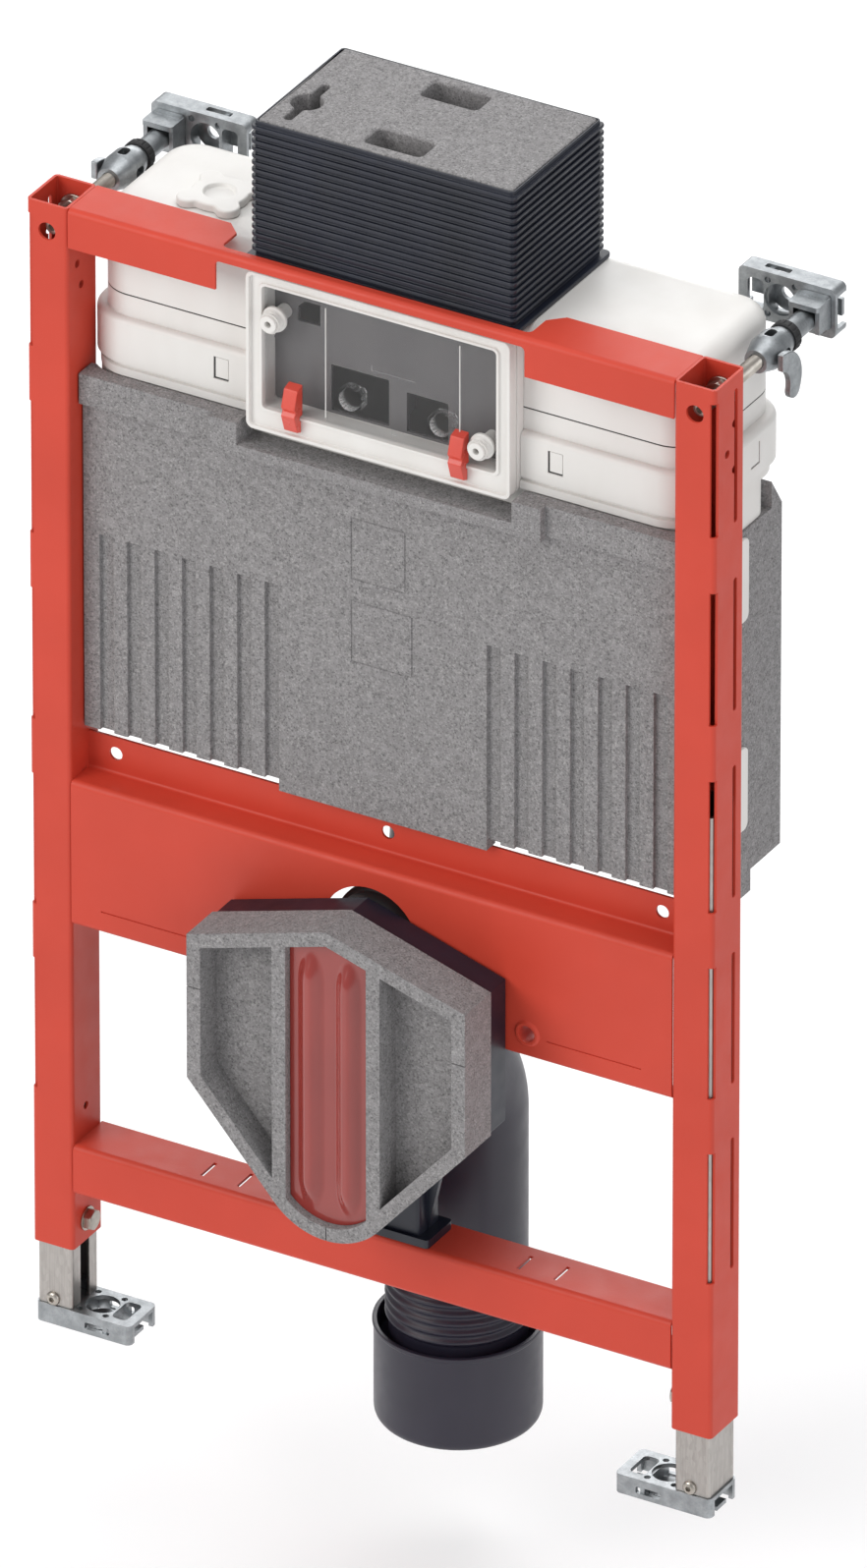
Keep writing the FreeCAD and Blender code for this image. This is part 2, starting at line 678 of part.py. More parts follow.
def inlet_cap():
    """Low cap over the water connection: four lobes on its diagonals round a dished middle."""
    centre = V(cap_x, front_y + cap_depth, cistern_top + seat_gap)
    height = 0.2 * cap_radius
    cap = Part.makeCylinder(0.68 * cap_radius, height, centre)
    for i in range(4):
        angle = math.radians(45 + 90 * i)
        at = centre + V(math.cos(angle), math.sin(angle), 0) * (0.72 * cap_radius)
        cap = cap.fuse(Part.makeCylinder(0.28 * cap_radius, height, at))
    creases = [e for e in cap.removeSplitter().Edges if e.BoundBox.ZLength > 0.9 * height]
    cap = cap.removeSplitter().makeFillet(0.14 * cap_radius, creases)
    rim = [e for e in cap.Edges if e.BoundBox.ZMin > centre.z + height - 0.01]
    cap = cap.makeFillet(0.05 * cap_radius, rim)
    dish = Part.makeCone(0.34 * cap_radius, 0.42 * cap_radius, height, centre + Z_AXIS * (0.45 * height))
    return cap.cut(dish)


def rib_starts():
    first = foam_pad_half_width
    return [first + rib_pitch * i for i in range(ribs_each_side)]


def foam_shell_front():
    """Front foam half: rim and cradle round the window, ribbed cheeks and the seat on the flange."""
    y0 = front_y + foam_front
    y1 = front_y + foam_split
    shoulder = foam_bottom + foam_lift
    half = foam_half_width
    slab = box(-half, half, y0, y1, shoulder, foam_top)
    pad = box(-foam_pad_half_width, foam_pad_half_width, y0, y0 + foam_wall, foam_bottom, shoulder + 1)
    rim = box(-half, half, y0 - foam_rim_swell, y0 + 1, foam_top - foam_rim_height, foam_top)
    cradle_y = y0 - foam_rim_swell - foam_cradle_swell
    cradle = box(-foam_cradle_half_width, foam_cradle_half_width, cradle_y, y0 + 1,
                 foam_top - foam_rim_height - 2, foam_top)
    body = slab.fuse([pad, rim, cradle])
    hollow = box(-tank_half_width - foam_gap, tank_half_width + foam_gap, y0 + foam_wall, y1 + 1,
                 tank_bottom - foam_gap, foam_top + 1)
    swept = band_swell + 2 * foam_gap
    neck = rounded_box(-cistern_half_width - swept, cistern_half_width + swept, cistern_front_y - swept,
                       y1 + cistern_back, lip_bottom - 12, foam_top + 1, cistern_corner)
    sides = box(-foam_half_width - 1, foam_half_width + 1, tank_front_y - foam_gap, y1 + 1,
                foam_side_top, foam_top + 1)
    notch = box(-window_width / 2 - 4, window_width / 2 + 4, cradle_y - 1, cistern_front_y,
                window_bottom - 12, foam_top + 1)
    grooves = []
    for x in rib_starts():
        groove = box(x, x + rib_gap, y0 - 1, y0 + rib_depth, shoulder - 1, foam_bottom + rib_height)
        grooves += [groove, mirrored(groove)]
    for low, side in ((170.0, 40.0), (110.0, 45.0)):
        z0 = foam_bottom + low
        outline = box(-23, -23 + side, y0 - 1, y0 + 0.8, z0, z0 + 45)
        island = box(-22, -24 + side, y0 - 2, y0 + 2, z0 + 1, z0 + 44)
        grooves.append(outline.cut(island))
    return body.cut(Part.Compound([hollow, notch] + grooves)).cut(neck.fuse(sides)).removeSplitter()


def foam_shell_back():
    """Rear foam half: low side edges, a ridge behind the tank that falls to the rear, bevelled corners."""
    y0 = front_y + foam_split + seat_gap
    y1 = front_y + foam_back
    low = foam_bottom - foam_underside_drop
    half = foam_back_half_width
    shoulder = foam_bottom + foam_lift
    ledge = front_y + foam_ledge_from_front
    ridge = tank_back_y + foam_gap
    step_y = front_y + foam_step_from_front
    raised = low + foam_underside_step
    side = flat_face([V(-half, y0, shoulder), V(-half, ledge, shoulder), V(-half, ledge, low),
                      V(-half, step_y, low), V(-half, step_y, raised), V(-half, y1, raised),
                      V(-half, y1, foam_side_top - foam_ridge_fall),
                      V(-half, ridge, foam_side_top + foam_ridge_rise), V(-half, ridge, foam_side_top),
                      V(-half, y0, foam_side_top)])
    body = side.extrude(V(2 * half, 0, 0))
    bevels = [e for e in body.Edges if abs(e.BoundBox.YMin - y1) < 0.01 and abs(e.BoundBox.YMax - y1) < 0.01
              and e.BoundBox.ZLength > 100]
    body = body.makeChamfer(9, bevels)
    heel = [e for e in body.Edges if abs(e.BoundBox.YMin - y1) < 0.01 and abs(e.BoundBox.ZMax - raised) < 0.01]
    body = body.makeFillet(foam_corner, heel)
    hollow = rounded_box(-tank_half_width - foam_gap, tank_half_width + foam_gap, y0 - foam_split, ridge,
                         tank_bottom - foam_gap, foam_top, cistern_corner)
    outlet = V(0, front_y + flush_to_front, low - 1)
    hole = rod(flush_radius + 2, outlet, outlet + Z_AXIS * (tank_bottom - low + 2))
    return body.cut(Part.Compound([hollow, hole]))


def right_side_clips():
    """Two flat plastic hooks on the side of the foam."""
    clips = []
    y0 = front_y + hook_from_front
    x0 = foam_back_half_width + seat_gap
    for drop in (hook_drop, hook_drop + hook_pitch):
        high = foam_top - drop
        clips.append(rounded_box(x0, x0 + hook_thickness, y0, y0 + hook_width, high - hook_height, high,
                                 0.4 * hook_width, X_AXIS))
    return Part.Compound(clips)


def service_frame():
    """Stepped rectangular frame of the service window: outer ridge, recessed flange and sleeve."""
    half = window_width / 2
    front = window_front_y
    back = cistern_front_y - seat_gap
    block = rounded_box(-half, half, front, back, window_bottom, window_top, 5, Y_AXIS)
    step = rounded_box(-half + window_ridge, half - window_ridge, front - 1, front + window_step,
                       window_bottom + window_ridge, window_top - window_ridge, 3, Y_AXIS)
    opening = rounded_box(-half + window_side_rim, half - window_side_rim, front - 1, back + 1,
                          window_bottom + window_bottom_rim, window_top - window_top_rim, 3, Y_AXIS)
    groove = rounded_box(-half - 1, half + 1, front + 8, front + 10, window_bottom - 1, window_top + 1, 0.5)
    keep = rounded_box(-half + 1.5, half - 1.5, front + 7, front + 11, window_bottom + 1.5,
                       window_top - 1.5, 4, Y_AXIS)
    lip = rounded_box(-half + window_side_rim - window_lip, half - window_side_rim + window_lip,
                      front + window_step / 2, front + window_step + 1,
                      window_bottom + window_bottom_rim - window_lip,
                      window_top - window_top_rim + window_lip, 4, Y_AXIS)
    return block.cut(step).fuse(lip).cut(opening).cut(groove.cut(keep)).removeSplitter()


def panel_box(gap, y0, y1):
    half = window_width / 2 - window_side_rim - gap
    return rounded_box(-half, half, y0, y1, window_bottom + window_bottom_rim + gap,
                       window_top - window_top_rim - gap, 3, Y_AXIS)


guide_places = ((-25.0, 35.0), (41.0, 35.0))
nozzle_places = ((-77.0, 81.0), (74.0, 32.0))
latch_places = (-62.0, 59.0)


def splash_panel():
    """Clear splash panel with its two round push rod guides and the bridge between them."""
    y0 = window_front_y + window_step + 2
    panel = panel_box(seat_gap, y0, y0 + panel_thickness)
    for x, rise in guide_places:
        at = V(x, y0 + panel_thickness - 1, window_bottom + rise)
        guide = rod(9.5, at, at + Y_AXIS * 8).cut(rod(7.5, at - Y_AXIS, at + Y_AXIS * 9))
        lobe = rod(3.2, at, at + Y_AXIS * 8).translated(V(6.0, 0, 5.0))
        panel = panel.fuse([guide, lobe])
    bridge = rounded_box(-6, 26, y0 - 2.2, y0 + 1, window_bottom + 64, window_bottom + 69, 1.0, Y_AXIS)
    tab = rounded_box(8, 13, y0 - 1.6, y0 + 1, window_bottom + 22, window_bottom + 32, 1.0, Y_AXIS)
    panel = panel.fuse([bridge, tab])
    for x, rise in ((-38.0, 18.0), (59.0, 42.0)):
        panel = panel.fuse(box(x - 0.8, x + 0.8, y0 - 1.2, y0 + 1, window_bottom + rise, window_top - 12))
    for x, rise in nozzle_places:
        at = V(x, y0 - 3, window_bottom + rise)
        panel = panel.cut(rod(5.2, at, at + Y_AXIS * 8))
    return panel.removeSplitter()


def panel_bulkhead():
    """Grey inner bulkhead behind the clear panel: two working openings, a small vent, a shelf and a rib."""
    y0 = cistern_front_y
    wall = panel_box(seat_gap, y0, y0 + bulkhead_thickness)
    low = window_bottom
    cuts = [box(x0, x1, y0 - 1, y0 + 4, low + window_bottom_rim + 2, low + rise)
            for x0, x1, rise in bulkhead_openings]
    x0, x1, z0, z1 = bulkhead_vent
    vent = [V(x0, y0 - 1, low + z0), V(x1, y0 - 1, low + z0), V(x1, y0 - 1, low + z1),
            V(x0 + 5, y0 - 1, low + z1), V(x0, y0 - 1, low + z1 - 5)]
    cuts.append(flat_face(vent).extrude(Y_AXIS * 5))
    wall = wall.cut(Part.Compound(cuts))
    left, right = bulkhead_openings
    shelf_z = low + left[2] + 2
    back = y0 + shelf_depth
    shelf = rounded_box(left[0], right[1], y0 + 2, back, shelf_z, shelf_z + bulkhead_thickness, 1.2, X_AXIS)
    rib = box(left[1] + 4, left[1] + 7, y0 + 2, back, low + window_bottom_rim + 6, shelf_z + 1)
    return wall.fuse([shelf, rib]).removeSplitter()


def service_nozzles():
    """Two white threaded nozzles through the clear panel, with a hexagon collar each."""
    nozzles = []
    y_panel = window_front_y + window_step + 2
    for x, rise in nozzle_places:
        at = V(x, cistern_front_y - seat_gap, window_bottom + rise)
        reach = at.y - y_panel
        profile = [(2.0, 0), (5.0, 0), (5.0, reach + 0.3), (7.4, reach + 0.3), (7.4, reach + 2.3),
                   (5.6, reach + 2.9), (5.6, reach + 9), (4.8, reach + 10), (2.0, reach + 10)]
        nozzles.append(revolved(profile, at, V(0, -1, 0)))
    return Part.Compound(nozzles)


def latch(x):
    """Red turn latch: a waisted wedge that holds the clear panel behind the frame."""
    y0 = window_front_y + window_step
    low = window_bottom + 5
    rim_top = window_bottom + window_bottom_rim
    lip_y = y0 - window_step / 2 - seat_gap
    lip_z = rim_top - window_lip - seat_gap
    side = flat_face([V(0, y0 - seat_gap, low), V(0, y0 - 5, low + 2), V(0, y0 - 9, low + 14),
                      V(0, y0 - 7, low + 17), V(0, y0 - 9, low + 20), V(0, y0 - 5, low + 32),
                      V(0, y0 + 1.6, low + 34), V(0, y0 + 1.6, rim_top + 1), V(0, lip_y, rim_top + 1),
                      V(0, lip_y, lip_z), V(0, y0 - seat_gap, lip_z)])
    return prism_along_x(side, x - 5, x + 5)


def shaft_collar():
    """Rectangular telescopic shaft with closely spaced ribs round it and a base flange."""
    half = shaft_width / 2
    y0 = shaft_front_y
    y1 = y0 + shaft_depth
    low = cistern_top + seat_gap
    high = low + shaft_height
    rib = shaft_rib
    body = rounded_box(-half, half, y0, y1, low, high, 3)
    flange = rounded_box(-half - shaft_flange, half + shaft_flange, y0 - shaft_flange, y1 + shaft_flange,
                         low, low + shaft_flange_thickness, 4)
    count = int((shaft_height - shaft_flange_thickness - 3) / shaft_rib_pitch)
    ribs = []
    for i in range(1, count + 1):
        z = low + shaft_flange_thickness + i * shaft_rib_pitch - shaft_rib_height / 2
        ribs.append(rounded_box(-half - rib, half + rib, y0 - rib, y1 + rib, z, z + shaft_rib_height, 3.5))
    bore = rounded_box(-half + shaft_wall, half - shaft_wall, y0 + shaft_wall, y1 - shaft_wall,
                       low - 1, high + 1, 2)
    return body.fuse([flange] + ribs).cut(bore)


def foam_plug():
    """Foam plug filling the shaft, with two finger pockets and a keyhole pocket."""
    gap = shaft_wall + seat_gap
    half = shaft_width / 2 - gap
    y0 = shaft_front_y + gap
    y1 = shaft_front_y + shaft_depth - gap
    top = cistern_top + seat_gap + shaft_height + plug_stand
    low = top - pocket_depth
    plug = rounded_box(-half, half, y0, y1, cistern_top + seat_gap, top, 2)
    for y in (shaft_front_y + pocket_inset, shaft_front_y + shaft_depth - pocket_inset):
        pocket = rounded_box(-pocket_length / 2, pocket_length / 2, y - pocket_width / 2,
                             y + pocket_width / 2, low, top + 1, 4)
        plug = plug.cut(pocket)
    key = V(key_inset - half, y0 + key_from_front, low)
    slot = rounded_box(key.x - 3, key.x + 3, key.y - key_length / 2, key.y + key_length / 2, low, top + 1, 2.5)
    plug = plug.cut(slot.fuse(Part.makeCylinder(key_radius, pocket_depth + 1, key)))
    mouth = [e for e in plug.Edges if e.BoundBox.ZMin > top - 0.01 and abs(e.BoundBox.XMin) < pocket_length
             and e.BoundBox.YLength < pocket_length and e.BoundBox.XLength < pocket_length + 1]
    return plug.makeFillet(2.0, mouth)


def cover_outline(inset=0.0):
    """Gabled outline with upright sides that taper to a round foot, as a face in the wall plane."""
    half = cover_width / 2
    apex_z = cover_shoulder + cover_apex
    side_z = cover_shoulder - cover_side
    foot_z = apex_z - cover_total_drop + cover_bottom_radius
    corner = V(half, 0, side_z)
    centre = V(0, 0, foot_z)
    reach = (corner - centre).Length
    swing = math.acos(cover_bottom_radius / reach) - math.atan2(side_z - foot_z, half)
    touch = centre + V(math.cos(swing), 0, -math.sin(swing)) * cover_bottom_radius
    left_touch = V(-touch.x, 0, touch.z)
    foot = centre - Z_AXIS * cover_bottom_radius
    points = [touch, corner, V(half, 0, cover_shoulder), V(0, 0, apex_z), V(-half, 0, cover_shoulder),
              V(-half, 0, side_z), left_touch]
    edges = [Part.LineSegment(a, b).toShape() for a, b in zip(points, points[1:])]
    edges.append(Part.Arc(left_touch, foot, touch).toShape())
    wire = Part.Wire(edges)
    if inset:
        wire = wire.makeOffset2D(-inset)
    return Part.Face(wire)


def cover_prism(inset, y0, y1):
    return cover_outline(inset).translated(V(0, y0, 0)).extrude(Y_AXIS * (y1 - y0))


def bowl_cover():
    """Foam cover over the bowl connections: two deep pockets either side of a shallow centre bay."""
    body = cover_prism(0, cover_front_y, cover_back_y)
    front = cover_front_y - 1
    inner = cover_prism(cover_rim, front, cover_front_y + cover_recess)
    half = cover_width / 2
    bay = insert_width / 2
    low, high = cover_shoulder - cover_total_drop, cover_shoulder + cover_apex
    pocket = inner.common(box(bay + cover_rim, half, front, cover_front_y + cover_recess, low, high))
    centre = cover_prism(cover_rim, front, cover_front_y + insert_recess)
    centre = centre.common(box(-bay, bay, front, cover_front_y + insert_recess, low, high))
    seam = box(half - cover_rim, half + 1, front, cover_front_y + 1.2, stud_height - 0.4, stud_height + 0.4)
    foot = cover_shoulder + cover_apex - cover_total_drop
    foot_seam = box(-0.4, 0.4, front, cover_front_y + 1.2, foot - 1, foot + cover_rim)
    return body.cut(Part.Compound([pocket, mirrored(pocket), centre, seam, mirrored(seam), foot_seam]))


def cover_insert():
    """Red panel in the centre bay with two upright tubes half sunk in it."""
    bay = insert_width / 2 - seat_gap
    back = cover_front_y + insert_recess - seat_gap
    front = back - 3
    panel = cover_prism(cover_rim + seat_gap, front, back)
    panel = panel.common(box(-bay, bay, front, back, cover_shoulder - cover_total_drop, cover_shoulder + cover_apex))
    low = cover_shoulder + cover_apex - cover_total_drop + 2.2 * cover_rim + insert_tube_radius
    high = cover_shoulder + 2
    tubes = []
    for side in (-1, 1):
        x = side * insert_tube_spacing / 2
        start = V(x, front + 2, low)
        end = V(x, front + 2, high)
        tubes.append(rod(insert_tube_radius, start, end))
        tubes.append(Part.makeSphere(insert_tube_radius, start))
        tubes.append(Part.makeSphere(insert_tube_radius, end))
    keep = box(-bay, bay, front - insert_tube_radius, front + 1, low - 30, high + 30)
    body = tubes[0].fuse(tubes[1:]).common(keep)
    return panel.fuse(body)


def cover_backing():
    """Black moulding behind the foam, pierced for the flush and drain pipes."""
    y0 = cover_back_y + seat_gap
    y1 = front_y - 2.2
    body = cover_prism(backing_inset, y0, y1)
    inlet = V(0, y0 + 4, inlet_height)
    outlet = V(0, y0 + 4, outlet_height)
    flush = rod(inlet_radius + seat_gap, inlet, inlet + Y_AXIS * backing_thickness)
    drain = rod(drain_radius + seat_gap, outlet, outlet + Y_AXIS * backing_thickness)
    return body.cut(Part.Compound([flush, drain]))


def hollow_pipe(radius, wall, bend, start, middle, end):
    """Pipe with one quarter bend: straight from start to the bend near middle, then on to end."""
    first = (middle - start).normalize()
    second = (end - middle).normalize()
    bend_start = middle - first * bend
    bend_end = middle + second * bend
    solids = []
    for r, extra in ((radius, 0.0), (radius - wall, 1.0)):
        run = rod(r, start - first * extra, bend_start)
        turn = pipe_elbow(r, bend, bend_start, first, second)
        out = rod(r, bend_end, end + second * extra)
        solids.append(run.fuse([turn, out]).removeSplitter())
    return solids[0].cut(solids[1])


def flush_bend():
    """Flush pipe from the tank's outlet down and forward through the plate."""
    start = V(0, front_y + flush_to_front, tank_bottom - seat_gap)
    middle = V(0, start.y, inlet_height)
    end = V(0, front_y - backing_thickness + 4 + seat_gap, inlet_height)
    return hollow_pipe(flush_radius, flush_wall, flush_bend_radius, start, middle, end)


def flush_coupling():
    """Rubber sleeve round the end of the flush pipe, with two sealing beads."""
    start = V(0, front_y - backing_thickness + 4 + 2 * seat_gap, inlet_height)
    length = backing_thickness + 14
    bore = flush_radius + 0.1
    profile = [(bore, 0), (inlet_radius, 0), (inlet_radius, length - 10), (inlet_radius + 3, length - 8),
               (inlet_radius + 3, length - 3), (inlet_radius, length - 1), (inlet_radius, length), (bore, length)]
    return revolved(profile, start, Y_AXIS)


def drain_bend():
    """Drain pipe: short run to the rear, tight quarter bend and a ribbed tail down to the cup."""
    start = V(0, cover_back_y + seat_gap + 4 + seat_gap, outlet_height)
    middle = V(0, drain_y, outlet_height)
    end = V(0, drain_y, drain_end)
    pipe = hollow_pipe(drain_radius, drain_wall, drain_bend_radius, start, middle, end)
    ribs = []
    for i in range(5):
        z = cup_top + 4 + 7 * i
        base = V(0, drain_y, z)
        ribs.append(revolved([(drain_radius - 1, 0), (drain_radius + 2.5, 0.8), (drain_radius + 2.5, 2.6),
                              (drain_radius - 1, 3.4)], base, Z_AXIS))
    return pipe.fuse(ribs)


def drain_cup():
    """Reducing cup at the drain's lower end: wide mouth, seat for the pipe and a round edged base."""
    base = V(0, drain_y, 0)
    seat = drain_radius + seat_gap
    inner = cup_radius - cup_wall
    ledge = drain_end - seat_gap
    profile = [(drain_radius - 6, cup_bottom), (cup_radius, cup_bottom), (cup_radius, cup_top), (inner, cup_top),
               (inner, cup_top - 16), (seat, cup_top - 24), (seat, ledge), (drain_radius - 6, ledge)]
    cup = revolved(profile, base, Z_AXIS)
    rounds = [e for e in cup.Edges if abs(e.BoundBox.ZMax - cup_bottom) < 0.01 and e.BoundBox.XLength > 1.9 * inner]
    return cup.makeFillet(cup_round, rounds)


def drain_holder():
    """Black holder that clamps the drain and stands on the lower bar."""
    low = post_bottom + lower_bar_rise + lower_bar_height + seat_gap
    y0 = front_y + 4
    y1 = y0 + holder_depth
    half = 0.75 * drain_radius
    ring = rod(drain_radius + holder_wall, V(0, y0, outlet_height), V(0, y1, outlet_height))
    stem = rounded_box(-half, half, y0, y1, low, outlet_height, 3)
    foot = rounded_box(-half - 8, half + 8, y0 - 3, y1 + 3, low, low + 6, 3)
    reach = drain_radius + 2.5 * holder_wall
    arms = box(-reach, reach, y0 + 8, y1 - 8, outlet_height - 6, outlet_height + 6)
    bore = rod(drain_radius + seat_gap, V(0, y0 - 9, outlet_height), V(0, y1 + 9, outlet_height))
    top = plate_bottom - seat_gap
    post = box(-14, 14, y0 + 4, y1 - 10, outlet_height + drain_radius + 2, top)
    gusset = flat_face([V(half, y0 + 10, low + 4), V(half + 14, y0 + 10, outlet_height - 20),
                        V(half, y0 + 10, outlet_height)]).extrude(Y_AXIS * 4)
    return ring.fuse([stem, foot, arms, post, gusset, mirrored(gusset)]).cut(bore).removeSplitter()


def build():
    """Every node of the frame, each as a solid or a set of solids."""
    nodes = {
        "top_bar": top_bar(),
        "lower_bar": lower_bar(),
        "toilet_plate": toilet_plate(),
        "cistern_tank": tank(),
        "cistern_cover": cistern_cover(),
        "inlet_cap": inlet_cap(),
        "foam_shell_front": foam_shell_front(),
        "foam_shell_back": foam_shell_back(),
        "service_frame": service_frame(),
        "splash_panel": splash_panel(),
        "panel_bulkhead": panel_bulkhead(),
        "service_nozzles": service_nozzles(),
        "latch_left": latch(latch_places[0]),
        "latch_right": latch(latch_places[1]),
        "shaft_collar": shaft_collar(),
        "foam_plug": foam_plug(),
        "bowl_cover": bowl_cover(),
        "cover_insert": cover_insert(),
        "cover_backing": cover_backing(),
        "flush_bend": flush_bend(),
        "flush_coupling": flush_coupling(),
        "drain_bend": drain_bend(),
        "drain_cup": drain_cup(),
        "drain_holder": drain_holder(),
    }
    paired = {
        "post": right_post(),
        "foot_tube": right_foot_tube(),
        "foot_plate": right_foot_plate(),
        "clamp_bolt": right_clamp_bolt(),
        "wall_rod": right_wall_rod(),
        "swivel_head": right_swivel_head(),
        "lock_ring": right_lock_ring(),
        "lock_lever": right_lock_lever(),
        "wall_clip": right_wall_clip(),
        "wall_plate": right_wall_plate(),
        "side_clips": right_side_clips(),
    }
    for name, shape in paired.items():
        nodes[name + "_right"] = shape
        nodes[name + "_left"] = mirrored(shape)
    return nodes


def main():
    os.makedirs("parts", exist_ok=True)
    origin = V(origin_x, 0, fixing_height)
    for name, shape in build().items():
        shape.translated(-origin).exportStep("parts/" + name + ".step")
        print(name, len(shape.Solids), shape.isValid(), round(shape.Volume))


main()
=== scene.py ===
import json
import math

import bmesh
import bpy
import numpy as np
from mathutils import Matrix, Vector

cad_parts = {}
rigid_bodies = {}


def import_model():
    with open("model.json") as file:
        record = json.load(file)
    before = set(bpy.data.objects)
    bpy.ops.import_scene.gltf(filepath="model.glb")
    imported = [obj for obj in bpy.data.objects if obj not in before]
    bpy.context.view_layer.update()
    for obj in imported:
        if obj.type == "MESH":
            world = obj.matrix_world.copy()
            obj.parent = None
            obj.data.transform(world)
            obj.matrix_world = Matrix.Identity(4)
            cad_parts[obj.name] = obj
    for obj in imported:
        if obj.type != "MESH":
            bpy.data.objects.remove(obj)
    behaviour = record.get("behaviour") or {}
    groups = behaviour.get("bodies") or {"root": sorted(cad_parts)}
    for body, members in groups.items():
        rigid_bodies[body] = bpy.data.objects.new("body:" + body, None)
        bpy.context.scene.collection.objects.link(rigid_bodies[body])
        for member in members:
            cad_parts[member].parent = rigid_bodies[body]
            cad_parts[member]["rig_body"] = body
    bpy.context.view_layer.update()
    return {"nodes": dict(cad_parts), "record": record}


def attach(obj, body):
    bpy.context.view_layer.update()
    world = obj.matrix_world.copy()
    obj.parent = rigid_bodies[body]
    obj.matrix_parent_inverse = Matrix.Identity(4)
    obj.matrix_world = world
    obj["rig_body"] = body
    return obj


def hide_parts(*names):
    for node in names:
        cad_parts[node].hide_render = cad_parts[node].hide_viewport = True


# Looks of a wall hung toilet frame: its finishes, its fine forms and a studio to show it in.
# Sizes are in mm as the object is set out: x from the middle of the frame, y from the wall (the front is
# negative) and z from the floor. metres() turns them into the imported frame, which starts at a wall fixing.

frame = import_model()
nodes = frame["nodes"]
body_of_node = {name: node["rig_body"] for name, node in nodes.items()}
slot_of_node = {part["node"]: part["material_slot"] for part in frame["record"]["subparts"]}

POST_X = 235.0
FRONT_Y = -168.0
REAR_Y = -131.0
POST_MID_Y = -149.5
FIXING_Z = 804.0
FLOOR_Z = -160.0
SIDES = ((-1, "left"), (1, "right"))
SET_OUT = np.array([-POST_X, 0.0, FIXING_Z])


def metres(points):
    """Set-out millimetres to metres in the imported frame: subtract the fixing's place, divide by 1000."""
    return (np.asarray(points, float) - SET_OUT) / 1000.0


# Materials


def add(tree, kind, **inputs):
    """Adds a shader node and sets its named inputs, to a value or to another node's output."""
    node = tree.nodes.new("ShaderNode" + kind)
    for name, value in inputs.items():
        socket = node.inputs[name.replace("_", " ")]
        if isinstance(value, bpy.types.NodeSocket):
            tree.links.new(value, socket)
        else:
            socket.default_value = value
    return node


def noise(tree, at, scale, detail=2.0, roughness=0.5):
    """Cloudy value from 0 to 1; scale is its number of waves a metre."""
    return add(tree, "TexNoise", Vector=at, Scale=scale, Detail=detail, Roughness=roughness).outputs["Fac"]


def cells(tree, at, scale, feature="F1"):
    """Cell pattern with scale cells a metre; its colour is one random shade a cell."""
    node = add(tree, "TexVoronoi", Vector=at, Scale=scale)
    node.feature = feature
    return node


def stretched(tree, at, x=1.0, y=1.0, z=1.0):
    """Coordinates times a factor on each axis; a factor under 1 draws a pattern out along that axis."""
    return add(tree, "Mapping", Vector=at, Scale=(x, y, z)).outputs["Vector"]


def remap(tree, value, low, high, to_low, to_high):
    """Value that runs from to_low to to_high while the given one runs from low to high."""
    node = add(tree, "MapRange", Value=value)
    for name, number in (("From Min", low), ("From Max", high), ("To Min", to_low), ("To Max", to_high)):
        node.inputs[name].default_value = number
    return node.outputs["Result"]


def tint(tree, factor, dark, light):
    """Colour that runs from dark to light as the factor goes from 0 to 1."""
    node = tree.nodes.new("ShaderNodeMix")
    node.data_type = "RGBA"
    tree.links.new(factor, node.inputs["Factor"])
    colours = [s for s in node.inputs if s.type == "RGBA"]
    for socket, colour in zip(colours, (dark, light)):
        if isinstance(colour, bpy.types.NodeSocket):
            tree.links.new(colour, socket)
        else:
            socket.default_value = (*colour, 1.0)
    return [s for s in node.outputs if s.type == "RGBA"][0]


def material(name, metallic=0.0, **constant):
    """Starts a material and returns it with its tree, its shader and the object coordinates."""
    made = bpy.data.materials.new(name)
    made.use_nodes = True
    tree = made.node_tree
    shader = tree.nodes["Principled BSDF"]
    shader.inputs["Metallic"].default_value = metallic
    for socket, value in constant.items():
        shader.inputs[socket.replace("_", " ")].default_value = value
    return made, tree, shader, tree.nodes.new("ShaderNodeTexCoord").outputs["Object"]


def wire(tree, shader, colour, roughness, heights):
    """Joins colour and roughness to the shader, and a chain of (height, distance, strength) bumps."""
    tree.links.new(colour, shader.inputs["Base Color"])
    tree.links.new(roughness, shader.inputs["Roughness"])
    normal = None
    for height, distance, strength in heights:
        node = add(tree, "Bump", Height=height, Distance=distance, Strength=strength)
        if normal is not None:
            tree.links.new(normal, node.inputs["Normal"])
        normal = node.outputs["Normal"]
    tree.links.new(normal, shader.inputs["Normal"])


def powder_coat():
    """Satin red powder coat: orange peel a few mm across over a finer grain, and a faint cloudiness."""
    made, tree, shader, at = material("red_powder_coat", Specular_IOR_Level=0.3)
    cloud = noise(tree, at, 14.0, 3.0)
    grain = noise(tree, at, 2600.0, 2.0)
    peel = noise(tree, at, 420.0, 3.0, 0.6)
    colour = tint(tree, remap(tree, cloud, 0.3, 0.7, 0.0, 1.0), (0.545, 0.052, 0.028), (0.595, 0.058, 0.032))
    colour = tint(tree, remap(tree, grain, 0.62, 0.8, 0.0, 0.16), colour, (0.78, 0.15, 0.10))
    rough = remap(tree, noise(tree, at, 60.0, 3.0), 0.3, 0.7, 0.40, 0.50)
    wire(tree, shader, colour, rough, [(peel, 0.00010, 0.5), (grain, 0.00003, 0.5)])
    return made


